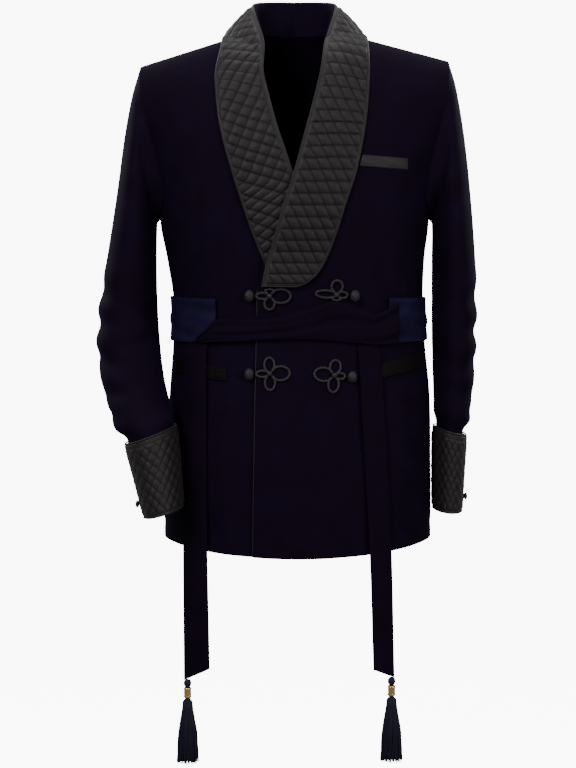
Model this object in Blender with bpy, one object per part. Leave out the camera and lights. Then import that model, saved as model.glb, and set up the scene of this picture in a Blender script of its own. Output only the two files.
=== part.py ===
"""A velvet smoking jacket with a quilted satin shawl collar, turned-back quilted cuffs, cord frogs
and a sash with tasselled ends. It is closed, and keeps the hollow shape of a wearer.
Metres, +Z up. The front faces -Y, and the wearer's left side is at +X. The origin is the middle
of the neck, level with the tops of the shoulders."""

import math

import bmesh
import bpy
import numpy as np
from mathutils import Vector

for old in list(bpy.data.objects):
    bpy.data.objects.remove(old)

# Cloth, seams and trims
VELVET_WALL = 0.0018
QUILT_WALL = 0.0030
SASH_WALL = 0.0025
WELT_WALL = 0.0020
SEAM = 0.0003
LAY = 0.0005
HIP_LAY = 0.0015
# The quilting: rows across the collar, and lines that lean over them
QUILT_ROWS = 0.0180
QUILT_LINES = 0.0135
QUILT_START = 0.50
QUILT_RISE = 0.0019
QUILT_LEAN = math.radians(-35)
FROG_CORD = 0.0021
EDGE_CORD = 0.0012

# The form under the arms: height, middle, half width, depth in front, depth behind
TORSO = (
    (-0.800, 0.005, 0.2070, 0.134, 0.128),
    (-0.655, 0.005, 0.2065, 0.136, 0.134),
    (-0.540, 0.008, 0.2010, 0.128, 0.122),
    (-0.465, 0.007, 0.1945, 0.120, 0.109),
    (-0.410, 0.006, 0.1925, 0.121, 0.109),
    (-0.340, 0.002, 0.1985, 0.126, 0.119),
    (-0.280, 0.000, 0.2070, 0.130, 0.127),
    (-0.270, 0.000, 0.2070, 0.130, 0.127),
)
BASE = -0.280
SECTION_POWER = 2.4
CHEST_POWER = 2.5
SHOULDER_HALF = 0.262
NECK_HALF = 0.0715
RIDGE_AT_NECK = 0.0057
SHOULDER_SLOPE = 0.29
SHOULDER_TILT = 0.025
BACK_NECK_RISE = 0.50
HEM_FRONT = -0.789
HEM_SIDE = -0.769

# The armhole: share of the height over the base, place across
ARMHOLE = (
    (0.0, 1.0),
    (0.03, 0.982),
    (0.09, 0.962),
    (0.18, 0.945),
    (0.35, 0.930),
    (0.6, 0.915),
    (1.0, 0.900),
)
# The back neckline: place across, share of the height over the base
BACK_NECKLINE = ((0.0, 0.885), (0.034, 0.933), (0.061, 0.980), (NECK_HALF, 1.0))
NECK_COLUMNS = 3
NECK_PULL = 0.0532
UPPER_ROWS = (0.0, 0.03, 0.09, 0.18, 0.30, 0.43, 0.56, 0.69, 0.81, 0.91, 1.0)
LOWER_ROWS = 10
PANEL_COLUMNS = 10

# Front closing: height, edge of the front that lies on top
OVER_EDGE = ((-0.800, -0.0620), (-0.600, -0.0590), (-0.385, -0.0545))
UNDER_EDGE_X = 0.050
ROLL_COVER = 0.0046
LAP_DEEP = 0.0080
LAP_SHALLOW = 0.0037
LAP_FROM, LAP_TO = -0.112, -0.064

# Lapels on the chest, lowest first: roll height, roll place, edge height, edge place
LEFT_LAPEL = (
    (-0.3805, -0.0500, -0.3815, 0.0020),
    (-0.3760, -0.0485, -0.3760, 0.0165),
    (-0.3660, -0.0468, -0.3660, 0.0302),
    (-0.3526, -0.0441, -0.3526, 0.0405),
    (-0.3270, -0.0366, -0.3270, 0.0530),
    (-0.2960, -0.0278, -0.2960, 0.0645),
    (-0.2620, -0.0185, -0.2620, 0.0750),
    (-0.2125, -0.0026, -0.2125, 0.0915),
    (-0.1608, 0.0116, -0.1608, 0.1024),
    (-0.1035, 0.0272, -0.1100, 0.1095),
    (-0.0596, 0.0378, -0.0700, 0.1120),
)
RIGHT_LAPEL = (
    (-0.3620, -0.0300, -0.3590, -0.0418),
    (-0.3450, -0.0262, -0.3400, -0.0490),
    (-0.3127, -0.0170, -0.3000, -0.0652),
    (-0.2625, -0.0040, -0.2500, -0.0826),
    (-0.2346, 0.0055, -0.2200, -0.0920),
    (-0.2080, -0.0030, -0.1900, -0.1005),
    (-0.1750, -0.0142, -0.1580, -0.1085),
    (-0.1400, -0.0263, -0.1250, -0.1150),
    (-0.1000, -0.0370, -0.0900, -0.1185),
    (-0.0625, -0.0459, -0.0650, -0.1195),
)
# Collar round the neck, front to back: the roll, the outer edge and the seam to the body
NECK = (
    ((0.0450, -0.0640, -0.0164), (0.1115, -0.056, -0.0350), (0.0500, -0.0610, -0.0160)),
    ((0.0540, -0.0330, 0.0150), (0.1090, -0.018, -0.0080), (0.0665, -0.0370, 0.0000)),
    ((0.0605, 0.0000, 0.0380), (0.1020, 0.018, 0.0030), (0.0715, 0.0000, 0.0064)),
    ((0.0600, 0.0380, 0.0520), (0.0830, 0.057, 0.0000), (0.0620, 0.0385, 0.0062)),
    ((0.0340, 0.0680, 0.0580), (0.0460, 0.085, -0.0060), (0.0340, 0.0615, 0.0056)),
    ((0.0003, 0.0760, 0.0590), (0.0003, 0.091, -0.0080), (0.0003, 0.0755, 0.0052)),
)
NECK_BULGE = 0.0055
LAPEL_FLOAT = 0.0042
COLLAR_LAY = 0.0011

# Sleeves from the shoulder down: outer place and height, inner place and height, forward, half depth
LEFT_SLEEVE = (
    (0.2455, -0.066, 0.2120, -0.285, 0.000, 0.064),
    (0.2570, -0.125, 0.2130, -0.297, 0.000, 0.073),
    (0.2675, -0.205, 0.2130, -0.317, 0.000, 0.078),
    (0.2750, -0.285, 0.2125, -0.347, -0.001, 0.077),
    (0.2800, -0.360, 0.2125, -0.387, -0.003, 0.073),
    (0.2815, -0.430, 0.2125, -0.435, -0.005, 0.068),
    (0.2805, -0.498, 0.2135, -0.495, -0.008, 0.063),
    (0.2750, -0.550, 0.2150, -0.545, -0.011, 0.059),
    (0.2700, -0.593, 0.2165, -0.580, -0.013, 0.057),
)
RIGHT_SLEEVE = (
    (0.2470, -0.080, 0.2118, -0.286, 0.000, 0.064),
    (0.2590, -0.138, 0.2125, -0.298, 0.000, 0.073),
    (0.2695, -0.212, 0.2130, -0.319, -0.001, 0.078),
    (0.2810, -0.290, 0.2130, -0.350, -0.004, 0.076),
    (0.2940, -0.370, 0.2120, -0.394, -0.010, 0.072),
    (0.3045, -0.450, 0.2085, -0.450, -0.022, 0.067),
    (0.2985, -0.512, 0.2025, -0.502, -0.044, 0.063),
    (0.2840, -0.560, 0.1930, -0.543, -0.074, 0.060),
    (0.2690, -0.598, 0.1830, -0.570, -0.098, 0.058),
)
# Cuffs, top and bottom: outer place and height, inner place and height, forward, half depth
LEFT_CUFF = (
    (0.2672, -0.614, 0.2140, -0.599, -0.014, 0.058),
    (0.2600, -0.731, 0.2140, -0.727, -0.016, 0.055),
)
RIGHT_CUFF = (
    (0.2560, -0.6190, 0.1769, -0.5895, -0.110, 0.057),
    (0.2263, -0.7270, 0.1665, -0.7098, -0.125, 0.053),
)
ARMPIT_EASE = 0.0007
SLEEVE_COLUMNS = 20
SLEEVE_ROWS = 13
UNDER_COLUMNS = 4
CUFF_CLEAR = 0.0022
CUFF_JOIN = 0.0016
CUFF_COLUMNS = 16
CUFF_ROWS = 6
CUFF_RISE = 0.0013

# Soft folds of the sleeves: height, turn round the arm, half height, half turn, depth
SLEEVE_FOLDS = (
    (-0.400, 150, 0.016, 55, 0.0035),
    (-0.452, 170, 0.014, 60, 0.0045),
    (-0.500, 150, 0.014, 55, 0.0040),
    (-0.545, 100, 0.013, 60, 0.0035),
    (-0.255, 95, 0.018, 40, 0.0030),
)
# Drape lines down the body: top place and height, bottom place and height, half width, depth
BODY_FOLDS = (
    (-0.1300, -0.2300, -0.1330, -0.3900, 0.0140, 0.0028),
    (0.1080, -0.3000, 0.1200, -0.3950, 0.0110, 0.0026),
    (0.1500, -0.3100, 0.1540, -0.3850, 0.0090, 0.0022),
    (-0.1550, -0.5400, -0.1450, -0.7900, 0.0180, 0.0030),
    (0.1550, -0.5400, 0.1650, -0.7900, 0.0180, 0.0030),
)

# Pockets: inner place, lower inner height, outer place, lower outer height, height of the welt, and
# how far the inner end leans out beside the lapel
BREAST_WELT = (0.0960, -0.2020, 0.1690, -0.2065, 0.0170, 0.0042)
LEFT_HIP_WELT = (0.1275, -0.5190, 0.1950, -0.5060, 0.0230, 0.0)
RIGHT_HIP_WELT = (-0.1010, -0.5235, -0.1800, -0.5125, 0.0200, 0.0)

# Frogs: middle, button middle, length of the top, far and bottom loops, how high the button lies
FROGS = {
    "upper_right": ((-0.0375, -0.3945), (-0.0675, -0.3944), (0.0105, 0.0190, 0.0150), 0.0015),
    "upper_left": ((0.0605, -0.3905), (0.0885, -0.3940), (0.0165, 0.0220, 0.0100), 0.0003),
    "lower_right": ((-0.0369, -0.5108), (-0.0675, -0.5119), (0.0215, 0.0240, 0.0190), 0.0006),
    "lower_left": ((0.0587, -0.5138), (0.0850, -0.5162), (0.0205, 0.0250, 0.0190), -0.0002),
}
LOOP_POINTS = 9
LOOP_WIDTH = 0.0130
KNOT_RADII = (0.0072, 0.0066, 0.0084)

# The sash: place, top edge and bottom edge of the stretch across the front
SASH_FRONT = (
    (-0.1440, -0.4610, -0.4650),
    (-0.1320, -0.4490, -0.4645),
    (-0.1170, -0.4310, -0.4640),
    (-0.1120, -0.4290, -0.4635),
    (-0.0800, -0.4255, -0.4625),
    (-0.0560, -0.4235, -0.4605),
    (-0.0100, -0.4190, -0.4590),
    (0.0250, -0.4110, -0.4590),
    (0.0550, -0.4020, -0.4610),
    (0.0780, -0.4060, -0.4635),
    (0.1000, -0.4160, -0.4660),
    (0.1165, -0.4230, -0.4680),
    (0.1310, -0.4170, -0.4680),
    (0.1440, -0.4090, -0.4670),
    (0.1520, -0.4050, -0.4665),
)
SASH_TOP = -0.399
SASH_BOTTOM = -0.465
SASH_AROUND_ENDS = (0.140, -0.117)
SASH_OVER_CORD = 0.0052
# The hanging ends: height, inner place, outer place
RIGHT_TAIL = (
    (-0.434, -0.1300, -0.1630),
    (-0.620, -0.1300, -0.1635),
    (-0.780, -0.1290, -0.1645),
    (-0.958, -0.1260, -0.1640),
)
LEFT_TAIL = (
    (-0.434, 0.0920, 0.1240),
    (-0.620, 0.1020, 0.1350),
    (-0.780, 0.1110, 0.1430),
    (-0.958, 0.1170, 0.1480),
)
TAIL_HEIGHTS = (-0.434, -0.450, -0.467, -0.486, -0.520, -0.560, -0.600, -0.640)
TAIL_HEIGHTS += (-0.670, -0.710, -0.780, -0.860, -0.920, -0.958)
TAIL_FREE_FROM = -0.665
TAIL_SLANT = {"left": 0.014, "right": 0.022}

# Tassels: radius and drop of the knot and neck, locks in each ring
TASSEL_PROFILE = ((0.0022, 0.0), (0.0052, 0.0022), (0.0060, 0.0060), (0.0050, 0.0100))
TASSEL_PROFILE += ((0.0040, 0.0120), (0.0040, 0.0290), (0.0078, 0.0315), (0.0070, 0.0345))
TASSEL_DROP = 0.128
LOCK_RINGS = ((14, 0.0062, 0.0152, 0.0024, 0.0056), (7, 0.0028, 0.0080, 0.0020, 0.0044))
FERRULE = (0.0045, 0.0059, 0.0130, 0.0280)

VELVET = ((0.006, 0.006, 0.022), 0.85, 0.0)
SATIN = ((0.022, 0.020, 0.021), 0.45, 0.0)
BRAID = ((0.035, 0.032, 0.036), 0.65, 0.0)
TASSEL = ((0.008, 0.010, 0.030), 0.60, 0.0)
GOLD = ((0.62, 0.42, 0.13), 0.28, 1.0)


def unit(vector):
    return vector / np.linalg.norm(vector)


def ease(value):
    value = min(max(value, 0.0), 1.0)
    return value * value * (3 - 2 * value)


def smooth_row(table, at):
    """The other columns of a table at a value of its first one, on a smooth curve through the rows."""
    rows = np.array(sorted(table), float)
    keys = rows[:, 0]
    slopes = np.gradient(rows, keys, axis=0)
    i = int(np.clip(np.searchsorted(keys, at) - 1, 0, len(keys) - 2))
    step = keys[i + 1] - keys[i]
    t = min(max((at - keys[i]) / step, 0.0), 1.0)
    start = (2 * t**3 - 3 * t**2 + 1) * rows[i] + (t**3 - 2 * t**2 + t) * step * slopes[i]
    end = (3 * t**2 - 2 * t**3) * rows[i + 1] + (t**3 - t**2) * step * slopes[i + 1]
    return (start + end)[1:]


def straight_row(table, at):
    rows = np.array(sorted(table), float)
    return [float(np.interp(at, rows[:, 0], rows[:, c])) for c in range(1, rows.shape[1])]


def ridge(x, face):
    """Height of the shoulder line, and behind the neck the rise to the nape."""
    out = max(abs(x), NECK_HALF)
    beyond = out - NECK_HALF
    height = RIDGE_AT_NECK - SHOULDER_SLOPE * beyond + SHOULDER_TILT * math.copysign(beyond, x)
    if face > 0:
        height += BACK_NECK_RISE * max(NECK_HALF - abs(x), 0.0)
    return height


def torso_at(level):
    """Middle, half width and both depths. Under 0 a level is metres below the base, else a share."""
    middle, half, front, back = smooth_row(TORSO, BASE + min(level, 0.0))
    half += (SHOULDER_HALF - half) * ease(level)
    return middle, half, front, back


def body_fold(x, z):
    """How far the cloth stands out at the drape lines."""
    out = 0.0
    for top_x, top_z, low_x, low_z, width, depth in BODY_FOLDS:
        along = (z - low_z) / (top_z - low_z)
        across = (x - low_x - (top_x - low_x) * along) / width
        out += depth * math.exp(-across * across) * ease(0.5 + 2.5 * (0.5 - abs(along - 0.5)))
    return out


def body_point(face, g, level):
    """A point of the outer surface: face -1 in front and 1 behind, g from -1 to 1 across."""
    middle, half, front, back = torso_at(level)
    share = max(1 - abs(g) ** SECTION_POWER, 0.0) ** (1 / SECTION_POWER)
    x = middle + g * half
    w = max(level, 0.0)
    depth = (front if face < 0 else back) * share * max(1 - w**CHEST_POWER, 0.0) ** (1 / CHEST_POWER)
    z = BASE + level if level < 0 else BASE + (ridge(x, face) - BASE) * w
    if face < 0:
        depth += body_fold(x, z) * min(share * 1.5, 1.0)
    return np.array((x, face * depth, z))


def level_of(x, z, face=-1):
    return z - BASE if z < BASE else min((z - BASE) / (ridge(x, face) - BASE), 1.0)


def front_point(x, z, lift=0.0):
    """The point of the front at a place and height, moved out by lift."""

    def place(px, pz):
        level = level_of(px, pz)
        middle, half = torso_at(level)[:2]
        return body_point(-1, min(max((px - middle) / half, -1.0), 1.0), level)

    step = 0.002
    across = place(x + step, z) - place(x - step, z)
    up = place(x, z + step) - place(x, z - step)
    return place(x, z) + lift * unit(np.cross(across, up))


def lap(x, z):
    """How far the front that lies beneath is set in."""
    deep = LAP_SHALLOW + (LAP_DEEP - LAP_SHALLOW) * ease((z + 0.410) / 0.035)
    return deep * ease((x - LAP_FROM) / (LAP_TO - LAP_FROM))


def rest_on_body(point, lift):
    """The point, moved out where it lies under the body's surface raised by lift."""
    x, y, z = point
    face = -1 if y < 0 else 1
    if z < BASE:
        out = front_point(x, z, lift)
        return np.array((x, min(y, out[1]), z))
    middle, half, front, back = torso_at(0.6)
    g = min(abs(x - middle) / half, 0.98)
    reach = (front if face < 0 else back) * (1 - g**SECTION_POWER) ** (1 / SECTION_POWER)
    reach += body_fold(x, z) if face < 0 else 0.0
    top = ridge(x, face) - BASE
    size = ((abs(y) / reach) ** CHEST_POWER + ((z - BASE) / top) ** CHEST_POWER) ** (1 / CHEST_POWER)
    arm = math.hypot(y, z - BASE) / size
    wanted = 1 + lift / arm
    if size >= wanted:
        return np.array(point)
    grow = wanted / size
    return np.array((x, y * grow, BASE + (z - BASE) * grow))


def grid_normals(grid, around=False):
    """The unit normals of a grid of points, away from the grid's own middle line."""
    if around:
        wide = np.concatenate([grid[:, -1:], grid, grid[:, :1]], axis=1)
        across = (wide[:, 2:] - wide[:, :-2]) / 2
    else:
        across = np.gradient(grid, axis=1)
    normals = np.cross(across, np.gradient(grid, axis=0))
    return normals / np.linalg.norm(normals, axis=2, keepdims=True)


def material(name, look):
    colour, roughness, metallic = look
    made = bpy.data.materials.new(name)
    made.use_nodes = True
    made.diffuse_color = (*colour, 1.0)
    shader = made.node_tree.nodes["Principled BSDF"]
    shader.inputs["Base Color"].default_value = (*colour, 1.0)
    shader.inputs["Roughness"].default_value = roughness
    shader.inputs["Metallic"].default_value = metallic
    return made


def add_object(name, points, faces, look):
    """One closed piece, its faces turned outwards."""
    mesh = bpy.data.meshes.new(name)
    mesh.from_pydata([tuple(map(float, p)) for p in points], [], faces)
    shape = bmesh.new()
    shape.from_mesh(mesh)
    bmesh.ops.recalc_face_normals(shape, faces=shape.faces[:])
    shape.to_mesh(mesh)
    shape.free()
    mesh.shade_smooth()
    mesh.set_sharp_from_angle(angle=math.radians(40))
    piece = bpy.data.objects.new(name, mesh)
    piece.data.materials.append(material(name, look))
    bpy.context.scene.collection.objects.link(piece)
    return piece


def add_wall(name, outer, inner, look, around=False):
    """A wall between two grids of points, closed at its edges."""
    rows, columns = outer.shape[:2]
    count = rows * columns
    spans = columns if around else columns - 1
    faces = []
    for r in range(rows - 1):
        for c in range(spans):
            a, b = r * columns + c, r * columns + (c + 1) % columns
            faces.append((a, b, b + columns, a + columns))
            faces.append((count + a + columns, count + b + columns, count + b, count + a))
    last = (rows - 1) * columns
    for c in range(spans):
        b = (c + 1) % columns
        faces.append((b, c, count + c, count + b))
        faces.append((last + c, last + b, count + last + b, count + last + c))
    if not around:
        for r in range(rows - 1):
            a, b = r * columns, r * columns + columns - 1
            faces.append((a, a + columns, count + a + columns, count + a))
            faces.append((b + columns, b, count + b, count + b + columns))
    points = np.concatenate([outer.reshape(-1, 3), inner.reshape(-1, 3)])
    return add_object(name, points, faces, look)


def tube_rings(path, radius, sides, closed):
    """Rings of points round a path, carried along it without a twist."""
    path = np.array(path)
    count = len(path)
    rings = []
    side = None
    for i in range(count):
        if closed:
            before, after = path[i - 1], path[(i + 1) % count]
        else:
            before, after = path[max(i - 1, 0)], path[min(i + 1, count - 1)]
        along = unit(after - before)
        if side is None:
            side = unit(np.cross(along, (0.1, 0.97, 0.2)))
        side = unit(side - along * side.dot(along))
        other = np.cross(along, side)
        turns = [2 * math.pi * k / sides for k in range(sides)]
        rings.append([path[i] + radius * (math.cos(a) * side + math.sin(a) * other) for a in turns])
    return np.array(rings)


def add_tube(name, path, radius, sides, look, closed=False):
    rings = tube_rings(path, radius, sides, closed)
    count = len(rings)
    faces = []
    for i in range(count if closed else count - 1):
        a, b = i * sides, ((i + 1) % count) * sides
        faces += [(a + k, a + (k + 1) % sides, b + (k + 1) % sides, b + k) for k in range(sides)]
    if not closed:
        faces += [tuple(range(sides)), tuple((count - 1) * sides + k for k in range(sides))]
    return add_object(name, rings.reshape(-1, 3), faces, look)


def panel_rows(face, inner_edge, flip):
    """A body panel's outer points, hem first, from its inner edge to the side seam and the armhole."""
    grid = []
    for row in range(LOWER_ROWS):
        t = row / LOWER_ROWS
        line = []
        for column in range(PANEL_COLUMNS + 1):
            level = -0.4
            for _ in range(2):
                middle, half = torso_at(level)[:2]
                first = math.asin((inner_edge(level) - middle) * flip / half)
                last = math.pi / 2
                g = flip * math.sin(first + (last - first) * column / PANEL_COLUMNS)
                hem = HEM_SIDE if face > 0 else HEM_FRONT + (HEM_SIDE - HEM_FRONT) * g * g
                level = (hem - BASE) * (1 - t)
            line.append(body_point(face, g, level))
        grid.append(line)
    for top in UPPER_ROWS:
        last = math.asin(min(smooth_row(ARMHOLE, top)[0], 1.0))
        line = []
        for column in range(PANEL_COLUMNS + 1):
            share, level = column / PANEL_COLUMNS, top
            if face > 0:
                third = NECK_COLUMNS / PANEL_COLUMNS - NECK_PULL * top
                share = float(np.interp(column, (0, NECK_COLUMNS, PANEL_COLUMNS), (0, third, 1)))
            for _ in range(3):
                middle, half = torso_at(level)[:2]
                first = math.asin((inner_edge(level) - middle) * flip / half)
                g = flip * math.sin(first + (last - first) * share)
                if face > 0:
                    level = top * straight_row(BACK_NECKLINE, min(abs(g) * half + 0.0001, NECK_HALF))[0]
            line.append(body_point(face, g, level))
        grid.append(line)
    return np.array(grid)


def roll_x(table, z):
    return straight_row([(row[0], row[1]) for row in table], z)[0]


def level_height(level):
    return BASE + level if level < 0 else BASE + (RIDGE_AT_NECK - BASE) * level


def over_edge(level):
    """Inner edge of the front on top: straight below the lapel, then under the roll to the neck."""
    z = level_height(level)
    if z < -0.3805:
        return smooth_row(OVER_EDGE, z)[0]
    if z < -0.0596:
        return roll_x(LEFT_LAPEL, z) + ROLL_COVER
    start = LEFT_LAPEL[-1][1] + ROLL_COVER
    return start + (NECK_HALF - start) * ((z + 0.0596) / (RIDGE_AT_NECK + 0.0596)) ** 1.3


def under_edge(level):
    """Inner edge of the front beneath: it runs on behind the other to its own line."""
    z = level_height(level)
    if z < -0.2346:
        return UNDER_EDGE_X - 0.045 * ease((z + 0.42) / 0.19)
    if z < -0.0625:
        return roll_x(RIGHT_LAPEL[4:], z) - ROLL_COVER
    start = RIGHT_LAPEL[-1][1] - ROLL_COVER
    return start + (-NECK_HALF - start) * ((z + 0.0625) / (RIDGE_AT_NECK + 0.0625)) ** 1.3


def back_edge(flip):
    """Inner edge of a back half, at the middle seam."""
    return lambda level: flip * SEAM / 2


def body_walls():
    """The four body panels. It gives each armhole's outer and inner points, from the armpit up."""
    rims = {}
    panels = (
        ("front_left", -1, over_edge, 1),
        ("front_right", -1, under_edge, -1),
        ("back_left", 1, back_edge(1), 1),
        ("back_right", 1, back_edge(-1), -1),
    )
    for name, face, edge, flip in panels:
        outer = panel_rows(face, edge, flip)
        normals = grid_normals(outer) * (flip * -face)
        outer[:, :, 1] += np.where(abs(outer[:, :, 1]) < 1e-6, face * SEAM / 2, 0)
        if name == "front_right":
            sunk = [[lap(x, z) for x, _, z in row] for row in outer]
            outer -= normals * np.array(sunk)[:, :, None]
        ridge_part = abs(outer[-1, :, 0]) > NECK_HALF - 0.0002
        outer[-1, ridge_part, 1] = face * SEAM / 2
        inner = outer - normals * VELVET_WALL
        inner[:, -1, 1] = np.where(outer[:, -1, 1] * face < 0.002, outer[:, -1, 1], inner[:, -1, 1])
        if face > 0:
            inner[:, 0, 0] = outer[:, 0, 0]
        inner[-1, ridge_part, 1] = face * SEAM / 2
        add_wall(name, outer, inner, VELVET)
        rims[name] = (outer[LOWER_ROWS:, -1], inner[LOWER_ROWS:, -1])
    return rims


def ring(row, columns, shrink=0.0):
    """A ring round the arm, from the inner side by the front and the outer side to the back."""
    outer_x, outer_z, inner_x, inner_z, forward, half = row
    out = np.array((outer_x, forward, outer_z))
    into = np.array((inner_x, forward, inner_z))
    span = unit(out - into)
    middle, reach = (out + into) / 2, np.linalg.norm(out - into) / 2 - shrink
    points = []
    for k in range(columns):
        turn = 2 * math.pi * k / columns
        depth = np.array((0, half - shrink, 0))
        points.append(middle - span * reach * math.cos(turn) - depth * math.sin(turn))
    return np.array(points)


def fold_sleeve(grid):
    """Presses soft folds into the rings of a sleeve, on the side that each fold's turn names."""
    normals = grid_normals(grid, around=True)
    middles = grid.mean(axis=1, keepdims=True)
    normals *= np.sign(((grid - middles) * normals).sum(axis=2, keepdims=True))
    for height, turn, tall, wide, depth in SLEEVE_FOLDS:
        for column in range(grid.shape[1]):
            angle = 360 * column / grid.shape[1]
            away = (angle - turn) / wide
            near = np.exp(-(((grid[:, column, 2] - height) / tall) ** 2)) * math.exp(-away * away)
            grid[:, column] -= normals[:, column] * (near * depth)[:, None]
    return grid


def sleeve_grid(table, cuff, rim_front, rim_back, flip):
    """Outer and inner rings of a sleeve. The first is the armhole's own edge, moved out by a seam."""
    top, low = (np.array(row) for row in cuff)
    rows = []
    keyed = [(k, *row) for k, row in enumerate(table)]
    for step in np.linspace(0, len(table) - 1, SLEEVE_ROWS):
        rows.append(ring(smooth_row(keyed, step), SLEEVE_COLUMNS))
    for drop, clear in ((-0.10, CUFF_CLEAR), (0.15, CUFF_CLEAR), (0.96, CUFF_JOIN)):
        rows.append(ring(top + drop * (low - top), SLEEVE_COLUMNS, QUILT_WALL + clear))
    grid = fold_sleeve(np.array(rows))
    normals = grid_normals(grid, around=True)
    middles = grid.mean(axis=1, keepdims=True)
    normals *= np.sign(((grid - middles) * normals).sum(axis=2, keepdims=True))
    inner = grid - normals * VELVET_WALL
    grid[:, :, 0] *= flip
    inner[:, :, 0] *= flip
    outer_rim = np.concatenate([rim_front[0], rim_back[0][-2:0:-1]])
    inner_rim = np.concatenate([rim_front[1], rim_back[1][-2:0:-1]])
    for side in (outer_rim, inner_rim):
        side[(0, SLEEVE_COLUMNS // 2), 1] = 0.0
        side[:, 0] += flip * 2 * SEAM
        side[(-2, -1, 0, 1, 2), 0] += flip * ARMPIT_EASE
    return np.concatenate([outer_rim[None], grid]), np.concatenate([inner_rim[None], inner])


def add_sleeve(side, table, cuff, rims, flip):
    outer, inner = sleeve_grid(table, cuff, rims["front_" + side], rims["back_" + side], flip)
    upper = list(range(UNDER_COLUMNS, SLEEVE_COLUMNS - UNDER_COLUMNS + 1))
    under = list(range(SLEEVE_COLUMNS - UNDER_COLUMNS, SLEEVE_COLUMNS)) + list(range(UNDER_COLUMNS + 1))
    for name, columns in (("sleeve_upper_", upper), ("sleeve_under_", under)):
        walls = []
        for grid in (outer, inner):
            part = grid[:, columns].copy()
            for edge, beside in ((0, 1), (-1, -2)):
                step = part[:, beside] - part[:, edge]
                part[:, edge] += SEAM / 2 * step / np.linalg.norm(step, axis=1, keepdims=True)
            walls.append(part)
        add_wall(name + side, walls[0], walls[1], VELVET)


def cuff_point(cuff, turn, drop, shrink=0.0, flip=1):
    """A point of a cuff's outer face: turn round it from 0 to 1, drop from 0 at its top to 1."""
    row = np.array(cuff[0]) * (1 - drop) + np.array(cuff[1]) * drop
    outer_x, outer_z, inner_x, inner_z, forward, half = row
    out = np.array((outer_x, forward, outer_z))
    into = np.array((inner_x, forward, inner_z))
    span = unit(out - into)
    reach = np.linalg.norm(out - into) / 2 - shrink
    angle = 2 * math.pi * turn
    point = (out + into) / 2 - span * reach * math.cos(angle)
    point -= np.array((0, half - shrink, 0)) * math.sin(angle)
    return point * np.array((flip, 1, 1))


def add_cuff(side, cuff, flip):
    """A turned-back cuff: pointed quilt cells raised over a plain inside, a corded top edge and a button."""
    points, faces, index = [], [], {}

    def place(c, r, shrink=0.0):
        key = (c % (2 * CUFF_COLUMNS), r, shrink)
        if key not in index:
            index[key] = len(points)
            points.append(cuff_point(cuff, key[0] / (2 * CUFF_COLUMNS), r / (2 * CUFF_ROWS), shrink, flip))
        return index[key]

    low = 2 * CUFF_ROWS
    for r in range(0, low + 1):
        for c in range(2 * CUFF_COLUMNS):
            if (c + r) % 2 == 0:
                continue
            corners = [(c - 1, r), (c, r + 1), (c + 1, r), (c, r - 1)]
            corners = [(a, b) for a, b in corners if 0 <= b <= low]
            ends = [place(a, b) for a, b in corners]
            if len(ends) < 4:
                middle_row = r + (0.35 if r == 0 else -0.35)
                peak = cuff_point(cuff, c / (2 * CUFF_COLUMNS), middle_row / low, -0.3 * CUFF_RISE, flip)
            else:
                peak = cuff_point(cuff, c / (2 * CUFF_COLUMNS), r / low, -CUFF_RISE, flip)
            points.append(peak)
            top = len(points) - 1
            for a, b in zip(ends, ends[1:] + ends[:1]):
                faces.append((a, b, top))
    for c in range(0, 2 * CUFF_COLUMNS, 2):
        inner = [place(c, 0, QUILT_WALL), place(c + 2, 0, QUILT_WALL)]
        inner_low = [place(c, low, QUILT_WALL), place(c + 2, low, QUILT_WALL)]
        faces.append((inner[0], inner[1], inner_low[1], inner_low[0]))
        faces.append((place(c, 0), place(c + 2, 0), inner[1], inner[0]))
        faces.append((place(c, low), place(c + 2, low), inner_low[1], inner_low[0]))
    add_object("cuff_" + side, points, faces, SATIN)
    rise = (EDGE_CORD + SEAM) / 0.114
    path = [cuff_point(cuff, k / 24, -rise, QUILT_WALL / 2, flip) for k in range(24)]
    add_tube("cuff_cord_" + side, path, EDGE_CORD, 4, BRAID, closed=True)
    seat = cuff_point(cuff, 0.5, 0.80, -0.0041, flip)
    add_ball("cuff_button_" + side, seat, (0.0030, 0.0055, 0.0055), 10, 6, BRAID)


def add_ball(name, middle, radii, around, rings, look):
    points = [np.array((0, 0, 1.0))]
    for r in range(1, rings):
        tilt = math.pi * r / rings
        points += [
            np.array((math.sin(tilt) * math.cos(a), math.sin(tilt) * math.sin(a), math.cos(tilt)))
            for a in (2 * math.pi * k / around for k in range(around))
        ]
    points.append(np.array((0, 0, -1.0)))
    faces = [(0, 1 + (k + 1) % around, 1 + k) for k in range(around)]
    for r in range(rings - 2):
        a, b = 1 + r * around, 1 + (r + 1) * around
        faces += [(a + k, a + (k + 1) % around, b + (k + 1) % around, b + k) for k in range(around)]
    end, last = len(points) - 1, 1 + (rings - 2) * around
    faces += [(end, last + k, last + (k + 1) % around) for k in range(around)]
    placed = [middle + p * np.array(radii) for p in points]
    return add_object(name, placed, faces, look)


def shawl_stations(lapel, flip):
    """Roll and outer edge of a collar half, lapel tip first, then round the neck to the back."""
    stations = []
    for roll_z, roll_place, edge_z, edge_place in lapel:
        sunk = [lap(x, z) if flip < 0 else 0.0 for x, z in ((roll_place, roll_z), (edge_place, edge_z))]
        roll = front_point(roll_place, roll_z, COLLAR_LAY - sunk[0])
        edge = front_point(edge_place, edge_z, COLLAR_LAY - sunk[1])
        stations.append((*roll, *edge, 0.0))
    for count, (roll, edge, _) in enumerate(NECK):
        bulge = NECK_BULGE * ease((count + 0.4) / 2)
        stations.append((flip * roll[0], roll[1], roll[2], flip * edge[0], edge[1], edge[2], bulge))
    return np.array(stations)


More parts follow.
